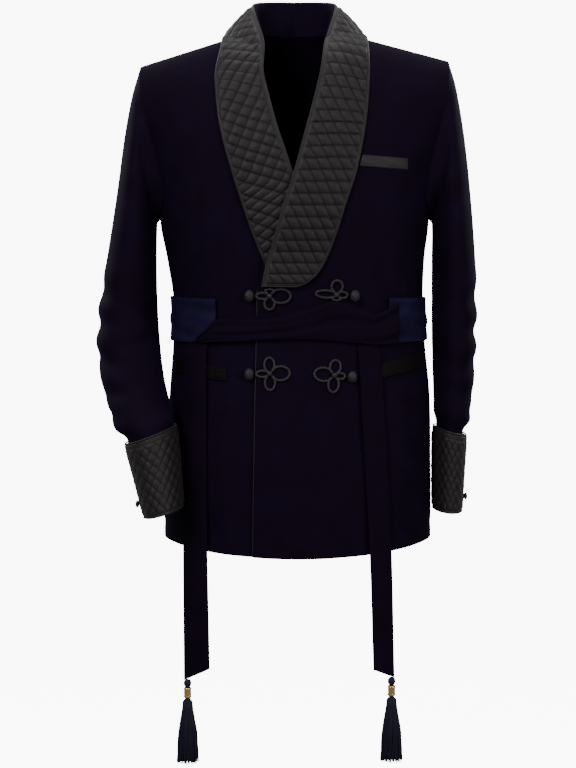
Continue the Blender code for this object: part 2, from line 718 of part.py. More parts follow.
class Shawl:
    """The form of one collar half: a flat band, laid along the roll line."""

    def __init__(self, lapel, flip):
        self.flip = flip
        stations = shawl_stations(lapel, flip)
        middles = (stations[:, :3] + stations[:, 3:6]) / 2
        steps = np.linalg.norm(np.diff(middles, axis=0), axis=1)
        along = np.concatenate([[0], np.cumsum(steps)])
        self.table = [(p, *row) for p, row in zip(along, stations)]
        self.length = float(along[-1])
        self.chest = float(along[len(lapel) - 1])

    def width(self, p):
        row = smooth_row(self.table, p)
        return float(np.linalg.norm(row[3:6] - row[:3]))

    def base(self, p, t):
        row = smooth_row(self.table, p)
        roll, edge, bulge = row[:3], row[3:6], row[6]
        point = roll + (edge - roll) * t
        out = unit(np.array((point[0] * 1.2, point[1] - 0.02, 0.10)))
        point = point + out * bulge * math.sin(math.pi * min(max(t, 0), 1))
        lift = COLLAR_LAY + LAPEL_FLOAT * ease(1 - p / 0.07) * (self.flip > 0)
        lift += 0.0012 * ease((p - self.chest) / 0.05) * t
        lift += 0.0004 * math.exp(-(((p - self.chest) / 0.03) ** 2))
        if self.flip < 0 and point[1] < 0:
            lift -= lap(point[0], point[2])
        return rest_on_body(point, lift)

    def place(self, p, q, rise):
        """A point of the band: p along it, q across from the roll, rise out of its inner face."""
        width = self.width(min(max(p, 0), self.length))
        t = q / width
        step = 0.003
        low, high = max(p - step, 0), min(p + step, self.length)
        left, right = max(t - 0.02, 0), min(t + 0.02, 1)
        along = self.base(high, t) - self.base(low, t)
        across = self.base(p, right) - self.base(p, left)
        normal = unit(np.cross(across, along)) * self.flip
        return self.base(p, t) + normal * rise


def add_shawl(name, lapel, flip, row_slope):
    """A collar half: a flat outline, cut along the quilting, with raised cells, then laid in place."""
    form = Shawl(lapel, flip)
    samples = [form.length * k / 44 for k in range(45)]
    outline = [(p, 0.0) for p in samples] + [(p, form.width(p)) for p in reversed(samples)]
    flat = bmesh.new()
    flat.faces.new([flat.verts.new((p, q, 0)) for p, q in outline])

    def cut(place, normal):
        geometry = flat.verts[:] + flat.edges[:] + flat.faces[:]
        bmesh.ops.bisect_plane(flat, geom=geometry, dist=0.0006, plane_co=place, plane_no=normal)

    cut(Vector((0, 0.0034, 0)), Vector((0, 1, 0)))
    across = Vector((math.cos(row_slope), math.sin(row_slope), 0))
    slanted = Vector((-math.sin(QUILT_LEAN), math.cos(QUILT_LEAN), 0))
    for normal, spacing in ((across, QUILT_ROWS), (slanted, QUILT_LINES)):
        for k in range(-40, 60):
            cut(normal * spacing * (k + QUILT_START), normal)
    bmesh.ops.remove_doubles(flat, verts=flat.verts[:], dist=0.0014)
    bmesh.ops.dissolve_degenerate(flat, edges=flat.edges[:], dist=0.0002)
    flat.verts.index_update()
    corners = [(v.co.x, min(max(v.co.y, 0), form.width(v.co.x))) for v in flat.verts]
    outer = [form.place(p, q, QUILT_WALL) for p, q in corners]
    deep = [-0.0010 if q < 0.001 and p < form.chest else 0.0 for p, q in corners]
    inner = [form.place(p, q, d) for (p, q), d in zip(corners, deep)]
    points = outer + inner
    count = len(corners)
    faces = []
    full = QUILT_ROWS * QUILT_LINES / math.cos(row_slope - QUILT_LEAN)
    for face in flat.faces:
        around = [v.index for v in face.verts]
        middle = face.calc_center_median()
        share = min(face.calc_area() / full, 1.0)
        rise = QUILT_WALL + QUILT_RISE * share * share
        if len(around) == 3 and share < 0.4:
            faces.append(tuple(around))
        else:
            points.append(form.place(middle.x, middle.y, rise))
            faces += [(a, b, len(points) - 1) for a, b in zip(around, around[1:] + around[:1])]
        faces.append(tuple(count + i for i in reversed(around)))
    for edge in flat.edges:
        if edge.is_boundary:
            a, b = (v.index for v in edge.verts)
            faces.append((a, b, count + b, count + a))
    flat.free()
    add_object(name, points, faces, SATIN)


def add_collar_stand():
    """The stand inside the collar, from the neck seam up to the roll, round the back of the neck."""
    keyed = [(k, *roll, *seam) for k, (roll, _, seam) in enumerate(NECK)]
    steps = np.linspace(0.35, len(NECK) - 1, 13)
    side = [smooth_row(keyed, s) for s in steps]
    mirrored = [row * np.array((-1, 1, 1, -1, 1, 1)) for row in side[:-1]]
    line = side + mirrored[::-1]
    rows = []
    for t in (0.0, 0.5, 1.0):
        stretch = []
        for row in line:
            low, high = row[3:6], row[:3] - np.array((0, 0, 0.0012))
            point = low + (high - low) * t
            inward = unit(np.array((-point[0], 0.012 - point[1], 0)))
            stretch.append(point + inward * 0.0016)
        rows.append(stretch)
    outer = np.array(rows)
    inward = np.stack([-outer[:, :, 0], 0.012 - outer[:, :, 1], 0 * outer[:, :, 2]], axis=2)
    inner = outer + inward / np.linalg.norm(inward, axis=2, keepdims=True) * VELVET_WALL
    add_wall("collar_stand", outer, inner, VELVET)


def laid_grid(columns, lift, wall):
    """Outer and inner points of a strip on the front. A column lists its places and heights, low to high."""
    outer = np.array([[front_point(x, z, lift + wall) for x, z in line] for line in columns])
    inner = np.array([[front_point(x, z, lift) for x, z in line] for line in columns])
    return outer, inner


def add_welt(name, welt, lift):
    near_x, near_z, far_x, far_z, height, lean = welt
    columns = []
    for k in range(8):
        x = near_x + (far_x - near_x) * k / 7
        z = near_z + (far_z - near_z) * k / 7
        columns.append([(x + lean * (1 - k / 7) * r / 2, z + height * r / 2) for r in range(3)])
    outer, inner = laid_grid(columns, lift, WELT_WALL)
    add_wall(name, outer, inner, SATIN)


def frog_path(middle, button, loops):
    """One cord that makes a top, a far and a bottom loop and a long one to the button."""
    middle, button = np.array(middle), np.array(button)
    to_button = unit(button - middle)
    reach = np.linalg.norm(button - middle) - KNOT_RADII[0] - FROG_CORD - LAY
    base = math.atan2(to_button[1], to_button[0])
    turn = 1 if to_button[0] < 0 else -1
    lobes = [(base, reach, 0.0060)]
    for count, length in enumerate(loops):
        width = LOOP_WIDTH if length > 0.012 else 0.009
        lobes.append((base - turn * math.radians(90 * (count + 1)), length, width))
    path = []
    for heading, length, width in lobes:
        along = np.array((math.cos(heading), math.sin(heading)))
        aside = np.array((-along[1], along[0])) * -turn
        for k in range(LOOP_POINTS):
            s = (k + 0.5) / LOOP_POINTS
            out = 0.0042 + (length - 0.0042) * (1 - math.cos(2 * math.pi * s)) / 2
            wide = -width / 2 * math.sin(2 * math.pi * s) - 0.0022 * math.cos(math.pi * s)
            path.append(middle + along * out + aside * wide)
    return path


def add_frogs():
    for place, (middle, button, loops, lay) in FROGS.items():
        lift = FROG_CORD + LAY
        path = [front_point(x, z, lift) for x, z in frog_path(middle, button, loops)]
        add_tube("frog_" + place, path, FROG_CORD, 4, BRAID, closed=True)
        sunk = lap(*button) if button[0] < -0.06 else 0.0
        seat = front_point(*button, KNOT_RADII[1] + lay - sunk)
        add_ball("knot_" + place, seat, KNOT_RADII, 9, 6, BRAID)


def add_front_cord():
    """The thin cord down the edge of the front that lies on top."""
    path = []
    for z in np.linspace(HEM_FRONT + 0.004, -0.3865, 16):
        x = over_edge(z - BASE) - EDGE_CORD - SEAM
        path.append(front_point(x, z, -EDGE_CORD))
    add_tube("front_cord", path, EDGE_CORD, 5, BRAID)


def sash_turn(turn, z, lift):
    """A point round the waist: turn in degrees from the middle of the front towards the wearer's left."""
    level = z - BASE
    middle, half, front, back = torso_at(level)
    angle = math.radians(turn)
    g = math.sin(angle)
    face = -1 if math.cos(angle) > 0 else 1
    depth = front if face < 0 else back
    x, y = middle + g * half, face * depth * (1 - min(abs(g), 1) ** SECTION_POWER) ** (1 / SECTION_POWER)
    slope_x = math.copysign(abs(g) ** (SECTION_POWER - 1) / half, g)
    slope_y = face * (abs(y) / depth) ** (SECTION_POWER - 1) / depth
    return np.array((x, y, z)) + lift * unit(np.array((slope_x, slope_y, 0)))


def add_sash_around():
    """The stretch of the sash round the sides and back. Its ends lie over the hanging ends."""
    start, end = (math.degrees(math.asin((x - 0.006) / 0.1935)) for x in SASH_AROUND_ENDS)
    turns = np.linspace(start, 360 + end, 29)
    outer, inner = [], []
    for turn in turns:
        near_front = ease((abs(turn - 180) - 90) / 35)
        wave = 0.0010 * math.sin(math.radians(turn * 9)) ** 2 * (1 - near_front)
        low = 0.0016 + 0.0031 * near_front + wave
        line = [(SASH_BOTTOM, low), (SASH_BOTTOM * 0.66 + SASH_TOP * 0.34, low + 0.0006)]
        line += [(SASH_BOTTOM * 0.34 + SASH_TOP * 0.66, low + 0.0002), (SASH_TOP, low)]
        outer.append([sash_turn(turn, z, lift + SASH_WALL) for z, lift in line])
        inner.append([sash_turn(turn, z, lift) for z, lift in line])
    add_wall("sash_around", np.array(outer), np.array(inner), VELVET)


def add_sash_front():
    """The stretch across the front, over the cords. Both ends are folded on the slant."""
    columns, lifts = [], []
    for x in np.linspace(SASH_FRONT[0][0], SASH_FRONT[-1][0], 25):
        top, low = straight_row(SASH_FRONT, x)
        columns.append([(x, low + (top - low) * r / 3) for r in range(4)])
        lifts.append(SASH_OVER_CORD + 0.0032 * ease((abs(x) - 0.074) / 0.020))
    outer, inner = [], []
    for line, lift in zip(columns, lifts):
        creases = (0.0, 0.0009, 0.0003, 0.0)
        outer.append([front_point(x, z, lift + SASH_WALL + c) for (x, z), c in zip(line, creases)])
        inner.append([front_point(x, z, lift + c) for (x, z), c in zip(line, creases)])
    add_wall("sash_front", np.array(outer), np.array(inner), VELVET)


def tail_point(x, z, lift):
    """A hanging end lies on the body as far as its fullest place, and hangs straight from there."""
    held = front_point(x, max(z, TAIL_FREE_FROM), lift)
    full = min(held[1], front_point(x, TAIL_FREE_FROM, lift)[1]) if z < TAIL_FREE_FROM else held[1]
    return np.array((held[0], full, z))


def add_tail(side, table):
    """A hanging end of the sash, cut on the slant at its foot. It gives the low corner."""
    outer, inner = [], []
    for z in TAIL_HEIGHTS:
        near, far = smooth_row(table, z)
        lift = COLLAR_LAY + 0.0042 * ease((-0.468 - z) / 0.018)
        near_line, far_line = [], []
        for k in range(4):
            x = near + (far - near) * k / 3
            drop = TAIL_SLANT[side] * (k / 3) * ease((-0.80 - z) / 0.15)
            near_line.append(tail_point(x, z - drop, lift + SASH_WALL))
            far_line.append(tail_point(x, z - drop, lift))
        outer.append(near_line)
        inner.append(far_line)
    add_wall("tail_" + side, np.array(outer), np.array(inner), VELVET)
    return (outer[-1][-1] + inner[-1][-1]) / 2, (outer[-1][-2] + inner[-1][-2]) / 2


def lathe(profile, sides, top):
    """Points and faces of a turned shape, closed at both ends."""
    points, faces = [], []
    for radius, drop in profile:
        for k in range(sides):
            a = 2 * math.pi * k / sides
            points.append(top + np.array((radius * math.cos(a), radius * math.sin(a), -drop)))
    for r in range(len(profile) - 1):
        a, b = r * sides, (r + 1) * sides
        faces += [(a + k, a + (k + 1) % sides, b + (k + 1) % sides, b + k) for k in range(sides)]
    last = (len(profile) - 1) * sides
    faces += [tuple(range(sides)), tuple(last + k for k in range(sides))]
    return points, faces


def add_tassel(side, corner, beside):
    """Knot, neck and skirt of one tassel: the locks stand apart below the head that they are fused into."""
    top = corner * 0.6 + beside * 0.4 - np.array((0, 0, 0.0011))
    head = add_object("tassel_" + side, *lathe(TASSEL_PROFILE, 12, top), TASSEL)
    root = TASSEL_PROFILE[-1][1] - 0.0018
    points, faces = [], []
    for count, near, far, thin, thick in LOCK_RINGS:
        for k in range(count):
            angle = 2 * math.pi * (k + 0.5 * (count < 10)) / count
            out = np.array((math.cos(angle), math.sin(angle), 0))
            aside = np.array((-out[1], out[0], 0))
            length = TASSEL_DROP - 0.004 * (0.5 + 0.5 * math.sin(2.4 * k))
            start = len(points)
            for t in (0.0, 0.30, 1.0):
                swell = ease(t * 1.6) * 0.55 + t * 0.45
                radius = near + (far - near) * swell
                size = thin + (thick - thin) * swell
                middle = top + out * radius - np.array((0, 0, root + (length - root) * t))
                for turn in (90, 210, 330):
                    a = math.radians(turn)
                    points.append(middle + (aside * math.sin(a) + out * math.cos(a)) * size / 2)
            for s in range(2):
                a = start + 3 * s
                faces += [(a + i, a + (i + 1) % 3, a + 3 + (i + 1) % 3, a + 3 + i) for i in range(3)]
            faces += [(start, start + 1, start + 2), (start + 6, start + 7, start + 8)]
    locks = add_object("locks_" + side, points, faces, TASSEL)
    locks.hide_render = True
    locks.display_type = "WIRE"
    joined = head.modifiers.new("locks", "BOOLEAN")
    joined.operation = "UNION"
    joined.object = locks
    add_ferrule(side, top)


def add_ferrule(side, top):
    inner, outer, above, below = FERRULE
    middle = (above + below) / 2
    profile = ((inner, above), (outer - 0.0004, above), (outer, above + 0.002), (outer - 0.0005, middle))
    profile += ((outer, below - 0.002), (outer - 0.0004, below), (inner, below))
    sides = 8
    points, faces = [], []
    for radius, drop in profile:
        for k in range(sides):
            a = 2 * math.pi * k / sides
            points.append(top + np.array((radius * math.cos(a), radius * math.sin(a), -drop)))
    count = len(profile)
    for r in range(count):
        a, b = r * sides, ((r + 1) % count) * sides
        faces += [(a + k, a + (k + 1) % sides, b + (k + 1) % sides, b + k) for k in range(sides)]
    add_object("ferrule_" + side, points, faces, GOLD)


rims = body_walls()
add_sleeve("left", LEFT_SLEEVE, LEFT_CUFF, rims, 1)
add_sleeve("right", RIGHT_SLEEVE, RIGHT_CUFF, rims, -1)
add_cuff("left", LEFT_CUFF, 1)
add_cuff("right", RIGHT_CUFF, -1)
add_shawl("shawl_left", LEFT_LAPEL, 1, 0.0)
add_shawl("shawl_right", RIGHT_LAPEL, -1, math.radians(-8))
add_collar_stand()
add_welt("breast_welt", BREAST_WELT, LAY)
add_welt("hip_welt_left", LEFT_HIP_WELT, HIP_LAY)
add_welt("hip_welt_right", RIGHT_HIP_WELT, HIP_LAY)
add_frogs()
add_front_cord()
add_sash_around()
add_sash_front()
for tail_side, tail_table in (("right", RIGHT_TAIL), ("left", LEFT_TAIL)):
    low_corner, next_point = add_tail(tail_side, tail_table)
    add_tassel(tail_side, low_corner, next_point)
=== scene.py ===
"""The look of a velvet smoking jacket with a quilted satin shawl collar and cuffs, cord frogs and a
tasselled sash. Each cloth piece is a thin shell on the form of its solid, with its creases, quilting,
stitching and cord laid one by one. Metres, +Z up, the front faces -Y, the wearer's left is at +X."""

import math

import bpy
import numpy as np
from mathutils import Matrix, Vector


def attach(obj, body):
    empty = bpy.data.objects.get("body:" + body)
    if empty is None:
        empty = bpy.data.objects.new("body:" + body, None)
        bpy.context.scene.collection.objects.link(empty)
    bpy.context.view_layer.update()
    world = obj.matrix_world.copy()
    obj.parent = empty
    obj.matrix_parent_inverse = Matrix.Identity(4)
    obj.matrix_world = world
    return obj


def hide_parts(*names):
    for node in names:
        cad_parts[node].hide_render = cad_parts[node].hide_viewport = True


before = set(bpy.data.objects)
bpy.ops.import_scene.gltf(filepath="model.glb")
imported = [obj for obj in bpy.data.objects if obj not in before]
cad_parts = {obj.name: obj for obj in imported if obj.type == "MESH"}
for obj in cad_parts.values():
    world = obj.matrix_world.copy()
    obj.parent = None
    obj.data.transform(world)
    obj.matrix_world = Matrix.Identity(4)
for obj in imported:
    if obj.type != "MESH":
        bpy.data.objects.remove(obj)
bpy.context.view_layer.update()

# Cloth, seams and trims
VELVET_WALL = 0.0018
QUILT_WALL = 0.0030
SASH_WALL = 0.0025
WELT_WALL = 0.0020
SEAM = 0.0003
CLOSE = 0.00003
SEAM_TURN = 0.0010
LAY = 0.0005
HIP_LAY = 0.0015
# The quilting: rows across the collar, and lines that lean over them
QUILT_ROWS = 0.0180
QUILT_LINES = 0.0135
QUILT_RISE = 0.0020
QUILT_LEAN = math.radians(-35)
FROG_CORD = 0.0021
EDGE_CORD = 0.0012

# The form under the arms: height, middle, half width, depth in front, depth behind
TORSO = (
    (-0.800, 0.005, 0.2070, 0.134, 0.128),
    (-0.655, 0.005, 0.2065, 0.136, 0.134),
    (-0.540, 0.008, 0.2010, 0.128, 0.122),
    (-0.465, 0.007, 0.1945, 0.120, 0.109),
    (-0.410, 0.006, 0.1925, 0.121, 0.109),
    (-0.340, 0.002, 0.1985, 0.126, 0.119),
    (-0.280, 0.000, 0.2070, 0.130, 0.127),
    (-0.270, 0.000, 0.2070, 0.130, 0.127),
)
BASE = -0.280
SECTION_POWER = 2.4
CHEST_POWER = 2.5
SHOULDER_HALF = 0.262
NECK_HALF = 0.0715
RIDGE_AT_NECK = 0.0057
SHOULDER_SLOPE = 0.29
SHOULDER_TILT = 0.025
BACK_NECK_RISE = 0.50
HEM_FRONT = -0.789
HEM_SIDE = -0.769

# The armhole: share of the height over the base, place across
ARMHOLE = (
    (0.0, 1.0),
    (0.03, 0.982),
    (0.09, 0.962),
    (0.18, 0.945),
    (0.35, 0.930),
    (0.6, 0.915),
    (1.0, 0.900),
)
# The back neckline: place across, share of the height over the base
BACK_NECKLINE = ((0.0, 0.885), (0.034, 0.933), (0.061, 0.980), (NECK_HALF, 1.0))
ARM_LEVELS = (0.0, 0.03, 0.09, 0.18, 0.30, 0.43, 0.56, 0.69, 0.81, 0.91, 1.0)

# Front closing: height, edge of the front that lies on top
OVER_EDGE = ((-0.800, -0.0620), (-0.600, -0.0590), (-0.385, -0.0545))
UNDER_EDGE_X = 0.050
ROLL_COVER = 0.0046
LAP_DEEP = 0.0080
LAP_SHALLOW = 0.0037
LAP_FROM, LAP_TO = -0.112, -0.064

# Lapels on the chest, lowest first: roll height, roll place, edge height, edge place
LEFT_LAPEL = (
    (-0.3805, -0.0500, -0.3815, 0.0020),
    (-0.3760, -0.0485, -0.3760, 0.0165),
    (-0.3660, -0.0468, -0.3660, 0.0302),
    (-0.3526, -0.0441, -0.3526, 0.0405),
    (-0.3270, -0.0366, -0.3270, 0.0530),
    (-0.2960, -0.0278, -0.2960, 0.0645),
    (-0.2620, -0.0185, -0.2620, 0.0750),
    (-0.2125, -0.0026, -0.2125, 0.0915),
    (-0.1608, 0.0116, -0.1608, 0.1024),
    (-0.1035, 0.0272, -0.1100, 0.1095),
    (-0.0596, 0.0378, -0.0700, 0.1120),
)
RIGHT_LAPEL = (
    (-0.3620, -0.0300, -0.3590, -0.0418),
    (-0.3450, -0.0262, -0.3400, -0.0490),
    (-0.3127, -0.0170, -0.3000, -0.0652),
    (-0.2625, -0.0040, -0.2500, -0.0826),
    (-0.2346, 0.0055, -0.2200, -0.0920),
    (-0.2080, -0.0030, -0.1900, -0.1005),
    (-0.1750, -0.0142, -0.1580, -0.1085),
    (-0.1400, -0.0263, -0.1250, -0.1150),
    (-0.1000, -0.0370, -0.0900, -0.1185),
    (-0.0625, -0.0459, -0.0650, -0.1195),
)
# The row where the right lapel comes out from under the left one
RIGHT_ROLL_FROM = 4
# Collar round the neck, front to back: the roll, the outer edge and the seam to the body
NECK = (
    ((0.0450, -0.0640, -0.0164), (0.1115, -0.056, -0.0350), (0.0500, -0.0610, -0.0160)),
    ((0.0540, -0.0330, 0.0150), (0.1090, -0.018, -0.0080), (0.0665, -0.0370, 0.0000)),
    ((0.0605, 0.0000, 0.0380), (0.1020, 0.018, 0.0030), (0.0715, 0.0000, 0.0064)),
    ((0.0600, 0.0380, 0.0520), (0.0830, 0.057, 0.0000), (0.0620, 0.0385, 0.0062)),
    ((0.0340, 0.0680, 0.0580), (0.0460, 0.085, -0.0060), (0.0340, 0.0615, 0.0056)),
    ((-0.0003, 0.0760, 0.0590), (-0.0003, 0.091, -0.0080), (0.0003, 0.0755, 0.0052)),
)
NECK_BULGE = 0.0055
LAPEL_FLOAT = 0.0042
COLLAR_LAY = 0.0011

# Sleeves from the shoulder down: outer place and height, inner place and height, forward, half depth
LEFT_SLEEVE = (
    (0.2455, -0.066, 0.2120, -0.285, 0.000, 0.064),
    (0.2570, -0.125, 0.2130, -0.297, 0.000, 0.073),
    (0.2675, -0.205, 0.2130, -0.317, 0.000, 0.078),
    (0.2750, -0.285, 0.2125, -0.347, -0.001, 0.077),
    (0.2800, -0.360, 0.2125, -0.387, -0.003, 0.073),
    (0.2815, -0.430, 0.2125, -0.435, -0.005, 0.068),
    (0.2805, -0.498, 0.2135, -0.495, -0.008, 0.063),
    (0.2750, -0.550, 0.2150, -0.545, -0.011, 0.059),
    (0.2700, -0.593, 0.2165, -0.580, -0.013, 0.057),
)
RIGHT_SLEEVE = (
    (0.2470, -0.080, 0.2118, -0.286, 0.000, 0.064),
    (0.2590, -0.138, 0.2125, -0.298, 0.000, 0.073),
    (0.2695, -0.212, 0.2130, -0.319, -0.001, 0.078),
    (0.2810, -0.290, 0.2130, -0.350, -0.004, 0.076),
    (0.2940, -0.370, 0.2120, -0.394, -0.010, 0.072),
    (0.3045, -0.450, 0.2085, -0.450, -0.022, 0.067),
    (0.2985, -0.512, 0.2025, -0.502, -0.044, 0.063),
    (0.2840, -0.560, 0.1930, -0.543, -0.074, 0.060),
    (0.2690, -0.598, 0.1830, -0.570, -0.098, 0.058),
)
# Cuffs, top and bottom: outer place and height, inner place and height, forward, half depth
LEFT_CUFF = (
    (0.2672, -0.614, 0.2140, -0.599, -0.014, 0.058),
    (0.2600, -0.731, 0.2140, -0.727, -0.016, 0.055),
)
RIGHT_CUFF = (
    (0.2560, -0.6190, 0.1769, -0.5895, -0.110, 0.057),
    (0.2263, -0.7270, 0.1665, -0.7098, -0.125, 0.053),
)
CUFF_CLEAR = 0.0022
CUFF_JOIN = 0.0016


def unit(vectors):
    vectors = np.asarray(vectors, float)
    return vectors / np.maximum(np.linalg.norm(vectors, axis=-1, keepdims=True), 1e-12)


def ease(value):
    value = np.clip(value, 0.0, 1.0)
    return value * value * (3 - 2 * value)


def bell(away, wide):
    return np.exp(-((away / wide) ** 2))


class Curve:
    """The other columns of a table over its first one, on a smooth curve through the rows."""

    def __init__(self, rows):
        rows = np.array(sorted(rows), float)
        self.keys, self.values = rows[:, 0], rows[:, 1:]
        self.slopes = np.gradient(self.values, self.keys, axis=0)

    def __call__(self, at):
        at = np.asarray(at, float)
        i = np.clip(np.searchsorted(self.keys, at) - 1, 0, len(self.keys) - 2)
        step = (self.keys[i + 1] - self.keys[i])[..., None]
        t = np.clip((at - self.keys[i])[..., None] / step, 0.0, 1.0)
        start = (2 * t**3 - 3 * t**2 + 1) * self.values[i] + (t**3 - 2 * t**2 + t) * step * self.slopes[i]
        end = (3 * t**2 - 2 * t**3) * self.values[i + 1] + (t**3 - t**2) * step * self.slopes[i + 1]
        return start + end


def keyed(table):
    """A table's rows on a curve over their place in it."""
    return Curve([(k, *row) for k, row in enumerate(table)])


def straight(table, at, column=1):
    rows = np.array(sorted(table), float)
    return np.interp(at, rows[:, 0], rows[:, column])


torso_curve = Curve(TORSO)
armhole_curve = Curve(ARMHOLE)
over_curve = Curve(OVER_EDGE)


def ridge(x, face):
    """Height of the shoulder line, and behind the neck the rise to the nape."""
    out = np.maximum(abs(x), NECK_HALF)
    fall = SHOULDER_SLOPE * (out - NECK_HALF)
    height = RIDGE_AT_NECK - fall + SHOULDER_TILT * np.sign(x) * (out - NECK_HALF)
    if face > 0:
        height = height + BACK_NECK_RISE * np.maximum(NECK_HALF - abs(x), 0.0)
    return height


def torso_at(level):
    values = torso_curve(BASE + np.minimum(level, 0.0))
    middle, half, front, back = (values[..., k] for k in range(4))
    return middle, half + (SHOULDER_HALF - half) * ease(level), front, back


# Drape of the body: face, top place and height, bottom place and height, half width, rise (+) or hollow (-)
BODY_FOLDS = (
    (-1, -0.1300, -0.2300, -0.1330, -0.3900, 0.0140, 0.0028),
    (-1, 0.1080, -0.3000, 0.1200, -0.3950, 0.0110, 0.0026),
    (-1, 0.1500, -0.3100, 0.1540, -0.3850, 0.0090, 0.0022),
    (-1, -0.1550, -0.5400, -0.1450, -0.7900, 0.0180, 0.0030),
    (-1, 0.1550, -0.5400, 0.1650, -0.7900, 0.0180, 0.0030),
    (-1, -0.1120, -0.3050, -0.1190, -0.3960, 0.0060, -0.0012),
    (-1, -0.1560, -0.2700, -0.1640, -0.3900, 0.0120, 0.0020),
    (-1, 0.0860, -0.4700, 0.0960, -0.6000, 0.0110, 0.0014),
    (-1, -0.0950, -0.4700, -0.1030, -0.6100, 0.0120, 0.0014),
    (-1, 0.0200, -0.5300, 0.0260, -0.7850, 0.0200, 0.0018),
    (-1, -0.0290, -0.5600, -0.0300, -0.7850, 0.0140, 0.0012),
    (-1, 0.1000, -0.6200, 0.1060, -0.7860, 0.0160, 0.0016),
    (-1, -0.1020, -0.6000, -0.1000, -0.7860, 0.0150, 0.0016),
    (-1, 0.1290, -0.1150, 0.1500, -0.2350, 0.0150, 0.0016),
    (-1, -0.1400, -0.1100, -0.1580, -0.2300, 0.0150, 0.0016),
    (-1, 0.1700, -0.1900, 0.1500, -0.2700, 0.0100, 0.0014),
    (-1, -0.1720, -0.1950, -0.1480, -0.2750, 0.0100, 0.0015),
    (1, 0.1300, -0.1000, 0.1420, -0.2900, 0.0160, 0.0022),
    (1, -0.1340, -0.1050, -0.1400, -0.2800, 0.0170, 0.0022),
    (1, 0.1050, -0.2700, 0.0980, -0.3950, 0.0120, 0.0018),
    (1, -0.1000, -0.2800, -0.0970, -0.3950, 0.0120, 0.0018),
    (1, 0.0500, -0.3000, 0.0470, -0.3950, 0.0100, 0.0012),
    (1, -0.0450, -0.2900, -0.0480, -0.3950, 0.0110, 0.0012),
    (1, 0.1520, -0.4700, 0.1600, -0.7700, 0.0180, 0.0028),
    (1, -0.1500, -0.4700, -0.1580, -0.7700, 0.0180, 0.0028),
    (1, 0.0900, -0.4700, 0.0980, -0.7700, 0.0170, 0.0022),
    (1, -0.0860, -0.4750, -0.0960, -0.7700, 0.0170, 0.0022),
    (1, 0.0330, -0.5000, 0.0380, -0.7700, 0.0150, 0.0014),
    (1, -0.0300, -0.5100, -0.0350, -0.7700, 0.0150, 0.0014),
)
# Short creases where the sash draws the cloth in: face, place, height, half length, half width, rise
WAIST_CREASES = (
    (-1, -0.165, -0.388, 0.020, 0.0050, 0.0013),
    (-1, -0.148, -0.384, 0.024, 0.0055, 0.0015),
    (-1, -0.100, -0.386, 0.018, 0.0050, 0.0012),
    (-1, 0.103, -0.388, 0.017, 0.0045, 0.0012),
    (-1, 0.136, -0.383, 0.024, 0.0055, 0.0015),
    (-1, 0.168, -0.387, 0.019, 0.0050, 0.0012),
    (-1, -0.160, -0.482, 0.018, 0.0060, 0.0014),
    (-1, -0.122, -0.486, 0.022, 0.0060, 0.0013),
    (-1, -0.030, -0.480, 0.014, 0.0055, 0.0010),
    (-1, 0.024, -0.483, 0.016, 0.0055, 0.0010),
    (-1, 0.130, -0.488, 0.022, 0.0060, 0.0013),
    (-1, 0.171, -0.484, 0.018, 0.0060, 0.0013),
    (1, -0.150, -0.382, 0.024, 0.0060, 0.0016),
    (1, -0.070, -0.385, 0.020, 0.0055, 0.0013),
    (1, 0.012, -0.386, 0.017, 0.0050, 0.0010),
    (1, 0.074, -0.384, 0.021, 0.0055, 0.0013),
    (1, 0.152, -0.382, 0.024, 0.0060, 0.0016),
    (1, -0.120, -0.488, 0.026, 0.0065, 0.0017),
    (1, -0.055, -0.485, 0.021, 0.0060, 0.0013),
    (1, 0.060, -0.487, 0.023, 0.0060, 0.0014),
    (1, 0.122, -0.488, 0.026, 0.0065, 0.0017),
)


def body_fold(face, x, z):
    """How far the cloth stands out at its drape lines and at the creases round the waist."""
    out = np.zeros(np.broadcast(x, z).shape)
    for side, top_x, top_z, low_x, low_z, width, depth in BODY_FOLDS:
        if side == face:
            along = (z - low_z) / (top_z - low_z)
            bend = 0.10 * width * np.sin(7 * along + 40 * low_x)
            across = (x + bend - low_x - (top_x - low_x) * along) / width
            out = out + depth * np.exp(-across * across) * ease(0.5 + 2.5 * (0.5 - abs(along - 0.5)))
    for side, place, height, tall, wide, rise in WAIST_CREASES:
        if side == face:
            lean = 0.18 * np.sin(90 * place)
            away = (x - place - lean * (z - height)) / wide
            out = out + rise * np.exp(-away * away - ((z - height) / tall) ** 2)
    return out


def body_points(face, g, level, folded=True):
    """Points of the jacket's outer surface: face -1 in front and 1 behind, g from -1 to 1 across."""
    g, level = np.broadcast_arrays(np.asarray(g, float), np.asarray(level, float))
    middle, half, front, back = torso_at(level)
    share = np.maximum(1 - abs(g) ** SECTION_POWER, 0.0) ** (1 / SECTION_POWER)
    x = middle + g * half
    w = np.clip(level, 0.0, 1.0)
    depth = (front if face < 0 else back) * share * (1 - w**CHEST_POWER) ** (1 / CHEST_POWER)
    z = np.where(level < 0, BASE + level, BASE + (ridge(x, face) - BASE) * w)
    if folded:
        depth = depth + body_fold(face, x, z) * np.minimum(share * 1.5, 1.0) * ease((1 - w) / 0.1)
    return np.stack([x, face * depth, z], axis=-1)


def level_of(x, z):
    return np.where(z < BASE, z - BASE, np.minimum((z - BASE) / (ridge(x, -1) - BASE), 1.0))


def front_points(x, z, lift=0.0, folded=True):
    """Points of the front at a place and height, moved out by lift."""
    x, z = np.broadcast_arrays(np.asarray(x, float), np.asarray(z, float))

    def place(px, pz):
        level = level_of(px, pz)
        middle, half = torso_at(level)[:2]
        return body_points(-1, np.clip((px - middle) / half, -1, 1), level, folded)

    step = 0.002
    across = place(x + step, z) - place(x - step, z)
    up = place(x, z + step) - place(x, z - step)
    return place(x, z) + np.asarray(lift)[..., None] * unit(np.cross(across, up))


